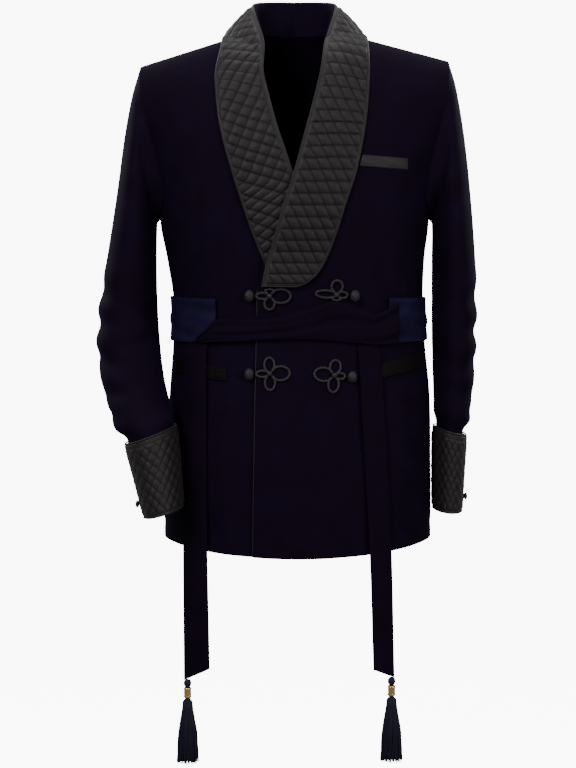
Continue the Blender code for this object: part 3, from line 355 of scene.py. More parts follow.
def lap(x, z):
    """How far the front that lies beneath is set in."""
    deep = LAP_SHALLOW + (LAP_DEEP - LAP_SHALLOW) * ease((z + 0.410) / 0.035)
    return deep * ease((x - LAP_FROM) / (LAP_TO - LAP_FROM))


def rest_on_body(points, lift):
    """The points, moved out where they lie under the body's surface raised by lift."""
    x, y, z = points[..., 0], points[..., 1], points[..., 2]
    lift = np.broadcast_to(lift, x.shape)
    low = front_points(x, np.minimum(z, BASE), lift, False)
    low = np.stack([x, np.minimum(y, low[..., 1]), z], axis=-1)
    middle, half, front, back = torso_at(np.full(x.shape, 0.6))
    behind = y >= 0
    g = np.minimum(abs(x - middle) / half, 0.98)
    reach = np.where(behind, back, front) * (1 - g**SECTION_POWER) ** (1 / SECTION_POWER)
    top = np.where(behind, ridge(x, 1), ridge(x, -1)) - BASE
    over = np.maximum(z - BASE, 0) / top
    size = ((abs(y) / reach) ** CHEST_POWER + over**CHEST_POWER) ** (1 / CHEST_POWER)
    arm = np.hypot(y, z - BASE) / size
    grow = np.maximum((1 + lift / arm) / size, 1.0)
    high = np.stack([x, y * grow, BASE + (z - BASE) * grow], axis=-1)
    return np.where((z < BASE)[..., None], low, high)


def grid_normals(grid, around=False):
    if around:
        wide = np.concatenate([grid[:, -1:], grid, grid[:, :1]], axis=1)
        across = (wide[:, 2:] - wide[:, :-2]) / 2
    else:
        across = np.gradient(grid, axis=1)
    return unit(np.cross(across, np.gradient(grid, axis=0)))


# Materials


def new_material(name, colour, roughness, metallic=0.0):
    made = bpy.data.materials.new(name)
    made.use_nodes = True
    shader = made.node_tree.nodes["Principled BSDF"]
    shader.inputs["Base Color"].default_value = (*colour, 1)
    shader.inputs["Roughness"].default_value = roughness
    shader.inputs["Metallic"].default_value = metallic
    return made, made.node_tree, shader


def add_node(tree, kind, **values):
    node = tree.nodes.new(kind)
    for key, value in values.items():
        if hasattr(node, key):
            setattr(node, key, value)
        else:
            node.inputs[key.replace("_", " ")].default_value = value
    return node


def ramp(tree, source, stops):
    node = tree.nodes.new("ShaderNodeValToRGB")
    elements = node.color_ramp.elements
    while len(elements) < len(stops):
        elements.new(0.5)
    for element, (at, colour) in zip(elements, stops):
        element.position = at
        element.color = (*colour, 1)
    tree.links.new(source, node.inputs["Fac"])
    return node


def bump(tree, shader, height, strength, distance, before=None):
    node = tree.nodes.new("ShaderNodeBump")
    node.inputs["Strength"].default_value = strength
    node.inputs["Distance"].default_value = distance
    tree.links.new(height, node.inputs["Height"])
    if before is not None:
        tree.links.new(before.outputs["Normal"], node.inputs["Normal"])
    tree.links.new(node.outputs["Normal"], shader.inputs["Normal"])
    return node


def noise(tree, place, **values):
    """The value of a noise texture over the places given."""
    node = add_node(tree, "ShaderNodeTexNoise", **values)
    tree.links.new(place, node.inputs["Vector"])
    return node.outputs["Fac"]


def object_space(tree):
    return tree.nodes.new("ShaderNodeTexCoord").outputs["Object"]


def vary(tree, shader, socket, source, stops):
    """A socket of the shader that changes with a noise. A stop is a colour or one grey value."""
    stops = [(at, value if isinstance(value, tuple) else (value,) * 3) for at, value in stops]
    tree.links.new(ramp(tree, source, stops).outputs["Color"], shader.inputs[socket])


def velvet_material(name, deep, lit, sheen):
    """Cut pile: dark face on, a blue bloom where it is seen edge on, patches where the nap is brushed."""
    made, tree, shader = new_material(name, deep, 0.78)
    shader.inputs["Specular IOR Level"].default_value = 0.03
    shader.inputs["Sheen Weight"].default_value = sheen
    shader.inputs["Sheen Roughness"].default_value = 0.26
    shader.inputs["Sheen Tint"].default_value = (0.20, 0.19, 0.95, 1)
    space = object_space(tree)
    nap = noise(tree, space, Scale=22.0, Detail=3.0, Roughness=0.55)
    pile = noise(tree, space, Scale=1500.0, Detail=2.0)
    vary(tree, shader, "Base Color", nap, ((0.34, deep), (0.74, lit)))
    vary(tree, shader, "Roughness", nap, ((0.3, 0.70), (0.75, 0.88)))
    first = bump(tree, shader, pile, 0.35, 0.0004)
    bump(tree, shader, nap, 0.20, 0.0020, first)
    return made


def satin_material(name, deep, lit, gloss):
    """Black satin: long floats give a soft streaked gloss. Its stitched lines get painted shade: the base
    colour is mixed towards near black by a per-point attribute.
    """
    made, tree, shader = new_material(name, deep, 0.55)
    shader.inputs["Specular IOR Level"].default_value = gloss
    shader.inputs["Sheen Weight"].default_value = 0.015
    shader.inputs["Sheen Roughness"].default_value = 0.4
    cloth = tree.nodes.new("ShaderNodeUVMap")
    cloth.uv_map = "cloth"
    streak_space = add_node(tree, "ShaderNodeMapping")
    streak_space.inputs["Scale"].default_value = (90.0, 1400.0, 1.0)
    tree.links.new(cloth.outputs["UV"], streak_space.inputs["Vector"])
    streak = noise(tree, streak_space.outputs["Vector"], Scale=1.0, Detail=4.0, Roughness=0.6)
    colour = ramp(tree, streak, ((0.30, deep), (0.75, lit)))
    groove_shade = add_node(tree, "ShaderNodeAttribute")
    groove_shade.attribute_name = "groove_shade"
    shade = add_node(tree, "ShaderNodeMixRGB")
    # Painted shade in the quilting grooves: near black mixed into the base colour where the attribute is
    # high
    shade.inputs["Color2"].default_value = (0.0004, 0.0003, 0.0006, 1)
    tree.links.new(groove_shade.outputs["Fac"], shade.inputs["Fac"])
    tree.links.new(colour.outputs["Color"], shade.inputs["Color1"])
    tree.links.new(shade.outputs["Color"], shader.inputs["Base Color"])
    vary(tree, shader, "Roughness", streak, ((0.30, 0.62), (0.72, 0.48)))
    weave_space = add_node(tree, "ShaderNodeMapping")
    weave_space.inputs["Scale"].default_value = (2600.0, 2600.0, 1.0)
    tree.links.new(cloth.outputs["UV"], weave_space.inputs["Vector"])
    weave = noise(tree, weave_space.outputs["Vector"], Scale=1.0, Detail=1.0)
    first = bump(tree, shader, weave, 0.25, 0.0002)
    crush = noise(tree, object_space(tree), Scale=260.0, Detail=3.0, Roughness=0.6)
    bump(tree, shader, crush, 0.28, 0.0009, first)
    return made


def cord_material(name, deep, lit, roughness, sheen):
    """Twisted or braided yarn: fine threads along the cord, with a painted highlight: the noise that raises
    the bump also makes the colour paler there.
    """
    made, tree, shader = new_material(name, deep, roughness)
    shader.inputs["Specular IOR Level"].default_value = 0.22
    shader.inputs["Sheen Weight"].default_value = sheen
    shader.inputs["Sheen Roughness"].default_value = 0.35
    yarn = noise(tree, object_space(tree), Scale=900.0, Detail=3.0, Roughness=0.6)
    vary(tree, shader, "Base Color", yarn, ((0.32, deep), (0.72, lit)))
    vary(tree, shader, "Roughness", yarn, ((0.3, roughness + 0.1), (0.7, roughness - 0.08)))
    bump(tree, shader, yarn, 0.45, 0.0005)
    return made


def gold_material(name):
    made, tree, shader = new_material(name, (0.62, 0.42, 0.13), 0.26, 1.0)
    wear = noise(tree, object_space(tree), Scale=420.0, Detail=4.0, Roughness=0.6)
    vary(tree, shader, "Base Color", wear, ((0.30, (0.50, 0.32, 0.09)), (0.70, (0.72, 0.52, 0.19))))
    vary(tree, shader, "Roughness", wear, ((0.3, 0.34), (0.7, 0.20)))
    bump(tree, shader, wear, 0.12, 0.0003)
    return made


VELVET = velvet_material("midnight_velvet", (0.0040, 0.0014, 0.0060), (0.0056, 0.0024, 0.0104), 0.040)
SASH_VELVET = velvet_material("sash_velvet", (0.0040, 0.0014, 0.0056), (0.0054, 0.0022, 0.0092), 0.040)
# A lit copy of the sash velvet: paler, bluer base colour and more sheen, painted light for the sash where it
# runs round the sides
LIT_SASH_VELVET = velvet_material("lit_sash_velvet", (0.0056, 0.0038, 0.0150), (0.0104, 0.0078, 0.0330), 0.060)
SATIN = satin_material("quilted_satin", (0.0080, 0.0062, 0.0070), (0.0172, 0.0138, 0.0152), 0.17)
WELT_SATIN = satin_material("welt_satin", (0.0022, 0.0011, 0.0017), (0.0046, 0.0025, 0.0034), 0.04)
BRAID = cord_material("dark_cord", (0.008, 0.0065, 0.0085), (0.021, 0.0175, 0.0215), 0.52, 0.03)
EDGE_BRAID = cord_material("edge_cord", (0.0032, 0.0024, 0.0046), (0.0080, 0.0062, 0.0100), 0.58, 0.02)
THREAD = cord_material("tassel_thread", (0.0014, 0.0011, 0.0062), (0.0052, 0.0042, 0.0210), 0.62, 0.03)
GOLD = gold_material("polished_brass")


# Meshes


def add_piece(name, points, faces, look, spread=None, replaces=(), sharp=None):
    """One piece on the frame's root. spread gives each point's place on the flat cloth, in metres."""
    mesh = bpy.data.meshes.new(name)
    points = np.asarray(points, float).reshape(-1, 3)
    quads = np.asarray(faces, int)
    mesh.vertices.add(len(points))
    mesh.vertices.foreach_set("co", points.ravel())
    sides = quads.shape[1]
    mesh.loops.add(quads.size)
    mesh.loops.foreach_set("vertex_index", quads.ravel())
    mesh.polygons.add(len(quads))
    mesh.polygons.foreach_set("loop_start", np.arange(0, quads.size, sides))
    mesh.polygons.foreach_set("loop_total", np.full(len(quads), sides))
    mesh.update(calc_edges=True)
    if spread is not None:
        layer = mesh.uv_layers.new(name="cloth")
        flat = np.asarray(spread, float).reshape(-1, 2)
        layer.data.foreach_set("uv", flat[quads.ravel()].ravel())
    mesh.validate()
    mesh.shade_smooth()
    if sharp:
        mesh.set_sharp_from_angle(angle=math.radians(sharp))
    piece = bpy.data.objects.new(name, mesh)
    mesh.materials.append(look)
    bpy.context.scene.collection.objects.link(piece)
    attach(piece, "root")
    if replaces:
        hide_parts(*replaces)
    return piece


def wall_faces(rows, columns, around, start=0):
    """Quads of a closed wall between two grids of points, the outer one first."""
    count = rows * columns
    spans = columns if around else columns - 1
    r, c = np.meshgrid(np.arange(rows - 1), np.arange(spans), indexing="ij")
    a, b = (r * columns + c).ravel(), (r * columns + (c + 1) % columns).ravel()
    faces = [np.stack([a, b, b + columns, a + columns], axis=1)]
    faces.append(np.stack([a + columns, b + columns, b, a], axis=1) + count)
    c = np.arange(spans)
    b, last = (c + 1) % columns, (rows - 1) * columns
    faces.append(np.stack([b, c, count + c, count + b], axis=1))
    faces.append(np.stack([last + c, last + b, count + last + b, count + last + c], axis=1))
    if not around:
        a = np.arange(rows - 1) * columns
        b = a + columns - 1
        faces.append(np.stack([a, a + columns, count + a + columns, count + a], axis=1))
        faces.append(np.stack([b + columns, b, count + b, count + b + columns], axis=1))
    return np.concatenate(faces) + start


def add_wall(name, outer, inner, look, replaces=(), around=False, spread=None, flip=False):
    rows, columns = outer.shape[:2]
    faces = wall_faces(rows, columns, around)
    if flip:
        faces = faces[:, ::-1]
    if spread is None:
        across = np.linalg.norm(np.diff(outer, axis=1), axis=2).mean(axis=0)
        along = np.linalg.norm(np.diff(outer, axis=0), axis=2).mean(axis=1)
        u, v = np.concatenate([[0], np.cumsum(across)]), np.concatenate([[0], np.cumsum(along)])
        spread = np.stack(np.meshgrid(v, u, indexing="ij")[::-1], axis=-1)
    points = np.concatenate([outer.reshape(-1, 3), inner.reshape(-1, 3)])
    spread = np.concatenate([spread.reshape(-1, 2)] * 2)
    return add_piece(name, points, faces, look, spread, replaces, sharp=55)


def keep_groove_shade(piece, groove_shade):
    """How deep each point of a quilted wall lies in a stitched line, 0 to 1: the weight of the painted shade
    that darkens its satin there.
    """
    layer = piece.data.attributes.new("groove_shade", "FLOAT", "POINT")
    layer.data.foreach_set("value", np.concatenate([groove_shade.ravel()] * 2).astype(np.float32))


def tube_frames(path, closed, start=(0.1, 0.97, 0.2)):
    """Two unit directions across a path at each point, carried along it without a twist."""
    if closed:
        along = unit(np.roll(path, -1, axis=0) - np.roll(path, 1, axis=0))
    else:
        along = unit(np.gradient(path, axis=0))
    sides = np.empty_like(path)
    side = unit(np.cross(along[0], start))
    for i, ahead in enumerate(along):
        side = side - ahead * side.dot(ahead)
        side = side / np.linalg.norm(side)
        sides[i] = side
    return along, sides, np.cross(along, sides)


def lathe_faces(rows, sides, closed):
    """Faces between rows of points that each run once round."""
    r, c = np.meshgrid(np.arange(rows if closed else rows - 1), np.arange(sides), indexing="ij")
    a, b, up = r * sides + c, r * sides + (c + 1) % sides, ((r + 1) % rows) * sides
    return np.stack([a, up + c, up + (c + 1) % sides, b], axis=-1).reshape(-1, 4)


def add_cord(
    name, path, radius, look, closed=False, replaces=(), strands=3, pitch=0.006, depth=0.16, sides=14
):
    """A twisted cord: its strands stand out along a helix."""
    path = np.asarray(path, float)
    _, side, other = tube_frames(path, closed)
    steps = np.linalg.norm(np.diff(np.vstack([path, path[:1]]) if closed else path, axis=0), axis=1)
    length = np.concatenate([[0], np.cumsum(steps)])
    turns = round(length[-1] / pitch) if closed else length[-1] / pitch
    length = length[: len(path)] / length[-1]
    angle = 2 * math.pi * np.arange(sides) / sides
    wave = abs(np.sin(strands / 2 * (angle[None, :] - 2 * math.pi * turns / strands * length[:, None])))
    size = radius * (1 - depth + depth * wave)
    ring = np.cos(angle)[None, :, None] * side[:, None] + np.sin(angle)[None, :, None] * other[:, None]
    points = path[:, None] + ring * size[..., None]
    count = len(path)
    faces = lathe_faces(count, sides, closed)[:, [0, 3, 2, 1]]
    points = points.reshape(-1, 3)
    if not closed:
        ends = []
        for row, turned in ((0, 1), (count - 1, 0)):
            middle = len(points)
            points = np.vstack([points, path[row : row + 1]])
            for k in range(0, sides, 2):
                ring_ids = [row * sides + (k + j) % sides for j in range(3)]
                ends.append([middle, *(ring_ids if not turned else ring_ids[::-1])])
        faces = np.vstack([faces, ends])
    return add_piece(name, points, faces, look, None, replaces)


# Body panels: rows and columns of the fine grids
LOW_ROWS = 46
HIGH_ROWS = 36
COLUMNS = 44


def level_height(level):
    return np.where(level < 0, BASE + level, BASE + (RIDGE_AT_NECK - BASE) * level)


def beneath_roll(z, below, lapel, side):
    """A front's inner edge: below the lapel as given, then under the roll, then on to the neck."""
    top, place = lapel[-1][:2]
    roll = straight(lapel, z) + side * ROLL_COVER
    start = place + side * ROLL_COVER
    up = np.clip((z - top) / (RIDGE_AT_NECK - top), 0, 1) ** 1.3
    neck = start + (side * NECK_HALF - start) * up
    return np.where(z < lapel[0][0], below, np.where(z < top, roll, neck))


def over_edge(level):
    """Inner edge of the front on top."""
    z = level_height(level)
    return beneath_roll(z, over_curve(z)[..., 0], LEFT_LAPEL, 1)


def under_edge(level):
    """Inner edge of the front beneath: it runs on behind the other to its own line."""
    z = level_height(level)
    below = UNDER_EDGE_X - 0.045 * ease((z + 0.42) / 0.19)
    return beneath_roll(z, below, RIGHT_LAPEL[RIGHT_ROLL_FROM:], -1)


def panel_points(face, inner_edge, flip):
    """A panel's outer points, hem first, from its inner edge to the side seam and the armhole."""
    share = np.linspace(0, 1, COLUMNS + 1)[None, :]
    t = np.linspace(0, 1, LOW_ROWS, endpoint=False)[:, None]
    level = np.full((LOW_ROWS, COLUMNS + 1), -0.4)
    for _ in range(3):
        middle, half = torso_at(level)[:2]
        first = np.arcsin((inner_edge(level) - middle) * flip / half)
        g = flip * np.sin(first + (math.pi / 2 - first) * share)
        hem = HEM_SIDE if face > 0 else HEM_FRONT + (HEM_SIDE - HEM_FRONT) * g * g
        level = (hem - BASE) * (1 - t)
    low = body_points(face, g, level)
    top = (1 - (1 - np.linspace(0, 1, HIGH_ROWS)) ** 1.25)[:, None] + np.zeros_like(share)
    last = np.arcsin(np.minimum(armhole_curve(top)[..., 0], 1.0))
    level = top
    for _ in range(4):
        middle, half = torso_at(level)[:2]
        first = np.arcsin((inner_edge(level) - middle) * flip / half)
        g = flip * np.sin(first + (last - first) * share)
        if face > 0:
            level = top * straight(BACK_NECKLINE, np.minimum(abs(g) * half + 0.0001, NECK_HALF))
    return np.concatenate([low, body_points(face, g, level)])


def add_body():
    panels = (
        ("front_left", -1, over_edge, 1, (0.37, 0.86), 0.228),
        ("front_right", -1, under_edge, -1, (0.36, 0.86), 0.218),
        ("back_left", 1, lambda level: -SEAM_TURN + 0 * level, 1, (0.30, 0.84), 0.204),
        ("back_right", 1, lambda level: -CLOSE + 0 * level, -1, (0.30, 0.84), 0.204),
    )
    for name, face, edge, flip, flat, area in panels:
        outer = panel_points(face, edge, flip)
        normals = grid_normals(outer) * (flip * -face)
        seam = abs(outer[..., 1]) < 1e-5
        outer[..., 1] = np.where(seam, face * CLOSE, outer[..., 1])
        if name == "front_right":
            outer = outer - normals * lap(outer[..., 0], outer[..., 2])[..., None]
        rows = np.linspace(0, 1, len(outer))[:, None]
        turn_up = 0.0007 * bell(outer[..., 2] - outer[:1, :, 2] - 0.020, 0.0035)
        side_seam = 0.0010 * bell(1 - np.linspace(0, 1, outer.shape[1])[None, :], 0.018) * (rows < 0.62)
        press = turn_up + side_seam
        if face > 0:
            x = outer[..., 0]
            press = press + 0.0007 * bell(x, 0.0022) + 0.0005 * (flip * x < -0.00002)
        outer = outer - normals * press[..., None]
        shoulder = abs(outer[-1, :, 0]) > NECK_HALF - 0.0002
        outer[-1, shoulder, 1] = face * CLOSE
        inner = outer - normals * VELVET_WALL
        tight = outer[:, -1, 1] * face < 0.002
        inner[:, -1, 1] = np.where(tight, outer[:, -1, 1], inner[:, -1, 1])
        if face > 0:
            inner[:, 0, 0] = outer[:, 0, 0]
        inner[-1, shoulder, 1] = face * CLOSE
        piece = add_wall("cloth_" + name, outer, inner, VELVET, [name], flip=flip * face > 0)


# Sleeves
ARM_COLUMNS = 100
ARM_ROWS = 120
TABLE_STEPS = 13
# Soft folds pressed into a sleeve: height, turn, half height, half turn, depth, climb per degree
LEFT_ARM_FOLDS = (
    (-0.400, 150, 0.016, 55, 0.0035, 0.00010),
    (-0.452, 170, 0.014, 60, 0.0045, -0.00008),
    (-0.500, 150, 0.014, 55, 0.0040, 0.00012),
    (-0.545, 100, 0.013, 60, 0.0035, -0.00010),
    (-0.255, 95, 0.018, 40, 0.0030, 0.00030),
    (-0.574, 205, 0.008, 70, 0.0022, 0.00006),
    (-0.425, 262, 0.010, 50, 0.0022, 0.00016),
    (-0.478, 285, 0.009, 45, 0.0022, -0.00012),
    (-0.200, 270, 0.020, 35, 0.0022, -0.00035),
    (-0.330, 60, 0.010, 38, 0.0018, 0.00030),
)
RIGHT_ARM_FOLDS = (
    (-0.392, 148, 0.015, 52, 0.0035, 0.00014),
    (-0.440, 168, 0.014, 62, 0.0048, -0.00006),
    (-0.492, 150, 0.013, 58, 0.0044, 0.00012),
    (-0.538, 110, 0.012, 60, 0.0036, -0.00012),
    (-0.250, 92, 0.018, 40, 0.0030, 0.00028),
    (-0.572, 200, 0.008, 70, 0.0022, 0.00008),
    (-0.418, 60, 0.010, 42, 0.0026, 0.00022),
    (-0.468, 75, 0.010, 48, 0.0030, -0.00018),
    (-0.430, 268, 0.010, 45, 0.0020, 0.00016),
    (-0.205, 268, 0.020, 36, 0.0022, -0.00035),
)


def rings(rows, turns, shrink=0.0):
    """Rings round an arm: a turn starts at the inner side and goes round by the front."""
    rows = np.asarray(rows, float)[:, None, :]
    outer_x, outer_z, inner_x, inner_z, forward, half = (rows[..., k] for k in range(6))
    out = np.stack([outer_x, forward, outer_z], axis=-1)
    into = np.stack([inner_x, forward, inner_z], axis=-1)
    span = unit(out - into)
    shrink = np.broadcast_to(shrink, (rows.shape[0], len(turns)))
    reach = np.linalg.norm(out - into, axis=-1) / 2 - shrink
    turn = 2 * math.pi * np.asarray(turns)[None, :]
    points = (out + into) / 2 - span * (reach * np.cos(turn))[..., None]
    points[..., 1] -= (half - shrink) * np.sin(turn)
    return points


def outward(grid):
    normals = grid_normals(grid, around=True)
    middles = grid.mean(axis=1, keepdims=True)
    return normals * np.sign(((grid - middles) * normals).sum(axis=2, keepdims=True))


def sleeve_form(table, cuff, flip):
    """The outer rings of a sleeve from the armhole's edge to inside the cuff, as a fine grid."""
    turns = np.arange(ARM_COLUMNS) / ARM_COLUMNS
    steps = 20 * np.minimum(turns, 1 - turns)
    level = np.clip(Curve([(k, v) for k, v in enumerate(ARM_LEVELS)])(steps)[..., 0], 0, 1)
    g = flip * np.minimum(armhole_curve(level)[..., 0], 1.0)
    front, back = body_points(-1, g, level), body_points(1, g, level)
    rim = np.where((turns <= 0.5)[:, None], front, back)
    near = np.minimum(turns, 1 - turns) < 0.11
    rim[:, 0] += flip * (CLOSE + 0.0003 * near)
    rim[:, 0] *= flip
    arm = keyed(table)(np.linspace(0, len(table) - 1, TABLE_STEPS))
    grid = [rim[None], rings(arm, turns)]
    top, low = (np.array(row) for row in cuff)
    for drop, clear in ((-0.10, CUFF_CLEAR), (0.15, CUFF_CLEAR), (0.96, CUFF_JOIN)):
        grid.append(rings([top + drop * (low - top)], turns, QUILT_WALL + clear))
    grid = np.concatenate(grid)
    steps = np.linalg.norm(np.diff(grid, axis=0), axis=2).mean(axis=1)
    keys = np.concatenate([[0], np.cumsum(steps)])
    curve = Curve([(k, *row.ravel()) for k, row in zip(keys, grid)])
    return curve(np.linspace(0, keys[-1], ARM_ROWS)).reshape(ARM_ROWS, ARM_COLUMNS, 3)


def add_sleeve(side, table, cuff, folds, flip):
    grid = sleeve_form(table, cuff, flip)
    normals = outward(grid)
    turn = 360 * np.arange(ARM_COLUMNS)[None, :] / ARM_COLUMNS
    press = np.zeros(grid.shape[:2])
    for height, middle, tall, wide, depth, climb in folds:
        away = (turn - middle + 180) % 360 - 180
        fall = grid[..., 2] - height - climb * away
        body = bell(away, wide)
        press += depth * body * (bell(fall, tall) - 0.30 * bell(fall - 1.7 * tall, tall))
    free = ease((grid[..., 2].max(axis=1) - cuff[0][1] - 0.004) / 0.02)[:, None]
    gather = 0.0007 * np.sin(math.radians(1) * turn * 9) * bell(np.arange(ARM_ROWS)[:, None], 5.0)
    grid = grid - normals * (press * free + gather * ease(np.arange(ARM_ROWS)[:, None] / 2))[..., None]
    normals = outward(grid)
    inner = grid - normals * VELVET_WALL
    for part in (grid, inner):
        part[..., 0] *= flip
    seam = ARM_COLUMNS // 5
    upper = np.arange(seam, ARM_COLUMNS - seam + 1)
    under = np.concatenate([np.arange(ARM_COLUMNS - seam, ARM_COLUMNS), np.arange(seam + 1)])
    pieces = (("sleeve_upper_", upper, (0.28, 0.68), 0.122), ("sleeve_under_", under, (0.17, 0.50), 0.066))
    for name, columns, flat, area in pieces:
        walls = []
        for whole in (grid, inner):
            part = whole[:, columns].copy()
            for edge, beside in ((0, 1), (-1, -2)):
                step = part[:, beside] - part[:, edge]
                part[:, edge] += CLOSE * unit(step)
            walls.append(part)
        piece = add_wall("cloth_" + name + side, walls[0], walls[1], VELVET, [name + side], flip=flip > 0)


# Cuffs: cells round and down, as points of the cell lattice
CUFF_CELLS_ROUND = 32
CUFF_CELLS_DOWN = 12
CUFF_RISE = 0.0016
CUFF_LENGTH = 0.117


def cuff_surface(cuff, turns, drops, rise, flip):
    """Points round a cuff: a grid of drops by turns, moved out by rise."""
    top, low = (np.array(row) for row in cuff)
    rows = top + np.asarray(drops)[:, None] * (low - top)
    points = rings(rows, turns, -np.asarray(rise))
    points[..., 0] *= flip
    return points


CUFF_AROUND = 0.265


def add_cuff(side, cuff, flip):
    rows, columns = 96, 224
    turns = np.arange(columns) / columns
    drops = np.linspace(0, 1, rows)
    c, r = np.meshgrid(CUFF_CELLS_ROUND * turns, CUFF_CELLS_DOWN * drops)
    puff = (abs(np.sin(math.pi * (c + r) / 2)) * abs(np.sin(math.pi * (c - r) / 2))) ** 0.50
    down = drops[:, None] * CUFF_LENGTH
    held = ease((down - 0.0062) / 0.004) * ease((CUFF_LENGTH - down - 0.0035) / 0.004)
    rise = CUFF_RISE * puff * held - 0.0004 * (1 - held)
    rise += 0.0009 * bell(down - 0.0018, 0.0012) + 0.0010 * bell(down - 0.0052, 0.0010)
    rise += 0.0010 * bell(CUFF_LENGTH - down - 0.0016, 0.0014)
    rise -= 0.0012 * bell(down, 0.0010) + 0.0012 * bell(CUFF_LENGTH - down, 0.0010)
    wander = 0.0008 * np.sin(6 * math.pi * c / CUFF_CELLS_ROUND + 2.2)
    wander = wander * np.sin(2.4 * r / CUFF_CELLS_DOWN + 0.5)
    outer = cuff_surface(cuff, turns, drops, rise + wander * held, flip)
    inner = cuff_surface(cuff, turns, drops, np.full(rise.shape, -QUILT_WALL), flip)
    spread = np.stack([CUFF_AROUND * c / CUFF_CELLS_ROUND, CUFF_LENGTH * r / CUFF_CELLS_DOWN], axis=-1)
    name, turned = "cuff_" + side, flip > 0
    piece = add_wall("quilted_" + name, outer, inner, SATIN, [name], around=True, spread=spread, flip=turned)
    # Painted shade: the satin darkens in the grooves between the puffed cells
    keep_groove_shade(piece, held * (1 - ease(puff / 0.50)))
    lift = -(EDGE_CORD + SEAM) / 0.114
    path = cuff_surface(cuff, np.arange(160) / 160, [lift], np.full((1, 160), -QUILT_WALL / 2), flip)[0]
    name = "cuff_cord_" + side
    add_cord("twisted_" + name, path, EDGE_CORD, BRAID, closed=True, replaces=[name], pitch=0.004)
    seat = cuff_surface(cuff, [0.5], [0.80], np.full((1, 1), 0.0041), flip)[0, 0]
    name = "cuff_button_" + side
    add_knot("covered_" + name, seat, (0.0031, 0.0056, 0.0056), [name], 5, 0.035)


def add_knot(name, middle, radii, replaces, turns, depth):
    """A ball worked from cord: two families of strands cross over it."""
    columns, rows = 72, 36
    around = 2 * math.pi * np.arange(columns) / columns
    tilt = np.linspace(0.0, math.pi, rows + 1)
    a, b = np.meshgrid(around, tilt)
    first, second = abs(np.sin(turns * a / 2 + 3 * b)), abs(np.sin(turns * a / 2 - 3 * b))
    over = np.where(np.sin(turns * a) * np.sin(6 * b) > 0, first, second)
    size = 1 - depth + depth * (0.55 * over + 0.45 * first * second) * np.sin(b) ** 0.3
    ball = np.stack([np.sin(b) * np.cos(a), np.sin(b) * np.sin(a), np.cos(b)], axis=-1) * size[..., None]
    ball[0], ball[-1] = ball[0].mean(axis=0), ball[-1].mean(axis=0)
    points = middle + ball[..., [2, 0, 1]] * np.array(radii)
    faces = lathe_faces(rows + 1, columns, False)
    return add_piece(name, points, faces, BRAID, None, replaces)


# The quilted shawl collar

SHAWL_ROWS = 470
SHAWL_COLUMNS = 72


def shawl_stations(lapel, flip):
    """Roll and outer edge of a collar half, from the lapel's tip to the middle of the back."""
    stations = []
    for roll_z, roll_place, edge_z, edge_place in lapel:
        x, z = np.array([roll_place, edge_place]), np.array([roll_z, edge_z])
        sunk = lap(x, z) if flip < 0 else np.zeros(2)
        roll, edge = front_points(x, z, COLLAR_LAY - sunk, False)
        stations.append((*roll, *edge, 0.0))
    for count, (roll, edge, _) in enumerate(NECK):
        bulge = float(NECK_BULGE * ease((count + 0.4) / 2))
        stations.append((flip * roll[0], roll[1], roll[2], flip * edge[0], edge[1], edge[2], bulge))
    return np.array(stations)


def add_shawl(side, lapel, flip, row_slope):
    """A collar half: puffed cells between two families of stitched lines, a plain edge all round."""
    stations = shawl_stations(lapel, flip)
    middles = (stations[:, :3] + stations[:, 3:6]) / 2
    along = np.concatenate([[0], np.cumsum(np.linalg.norm(np.diff(middles, axis=0), axis=1))])
    length, chest = along[-1], along[len(lapel) - 1]
    curve = Curve([(p, *row) for p, row in zip(along, stations)])
    p = np.linspace(0, length, SHAWL_ROWS)[:, None]
    t = np.linspace(0, 1, SHAWL_COLUMNS)[None, :]
    t = t - 0.012 * np.sin(2 * math.pi * t)
    row = curve(p[:, 0])[:, None, :]
    roll, edge, bulge = row[..., :3], row[..., 3:6], row[..., 6:7]
    points = roll + (edge - roll) * t[..., None]
    out = np.stack([points[..., 0] * 1.2, points[..., 1] - 0.02, np.full(points.shape[:2], 0.10)], axis=-1)
    points = points + unit(out) * bulge * np.sin(math.pi * t)[..., None]
    lift = COLLAR_LAY + LAPEL_FLOAT * ease(1 - p / 0.07) * (flip > 0) + 0.0012 * ease((p - chest) / 0.05) * t
    lift = lift + 0.0004 * bell(p - chest, 0.03)
    if flip < 0:
        lift = lift - np.where(points[..., 1] < 0, lap(points[..., 0], points[..., 2]), 0)
    base = rest_on_body(points, lift)
    normals = grid_normals(base) * flip
    width = np.linalg.norm(row[..., 3:6] - row[..., :3], axis=-1)
    q = width * t
    u = (p * math.cos(row_slope) + q * math.sin(row_slope)) / QUILT_ROWS
    v = (q * math.cos(QUILT_LEAN) - p * math.sin(QUILT_LEAN)) / QUILT_LINES
    across_row, across_line = abs(np.cos(math.pi * u)), abs(np.cos(math.pi * v))
    puff = (across_row * across_line) ** 0.46
    swell = 1 + 0.14 * np.sin(12.9 * np.floor(u + 0.5) + 78.2 * np.floor(v + 0.5))
    from_edge, from_tip = width - q, p + 0 * q
    held = ease((q - 0.0055) / 0.004) * ease((from_edge - 0.0034) / 0.003)
    held = held * ease((from_tip - 0.0034) / 0.003)
    rise = QUILT_WALL + (QUILT_RISE * puff * swell - 0.0002) * held
    # Painted shade along both families of stitched lines, kept as the satin's darkening attribute
    stitch_shade = bell(across_row * QUILT_ROWS, 0.0046) + bell(across_line * QUILT_LINES, 0.0046)
    stitch_shade = held * np.minimum(stitch_shade, 1)
    border = np.minimum(np.minimum(from_edge, q + 0.0010), from_tip + 0.0006)
    rise = rise + 0.0005 * bell(border - 0.0018, 0.0012)
    rise = rise - 0.0013 * bell(border, 0.0008)
    outer = base + normals * rise[..., None]
    deep = np.where((q < 0.001) & (p < chest), -0.0010, 0.0)
    inner = base + normals * deep[..., None]
    spread = np.stack([p + 0 * q, q], axis=-1)
    name = "shawl_" + side
    piece = add_wall("quilted_" + name, outer, inner, SATIN, [name], spread=spread, flip=flip < 0)
    keep_groove_shade(piece, stitch_shade)
    return piece


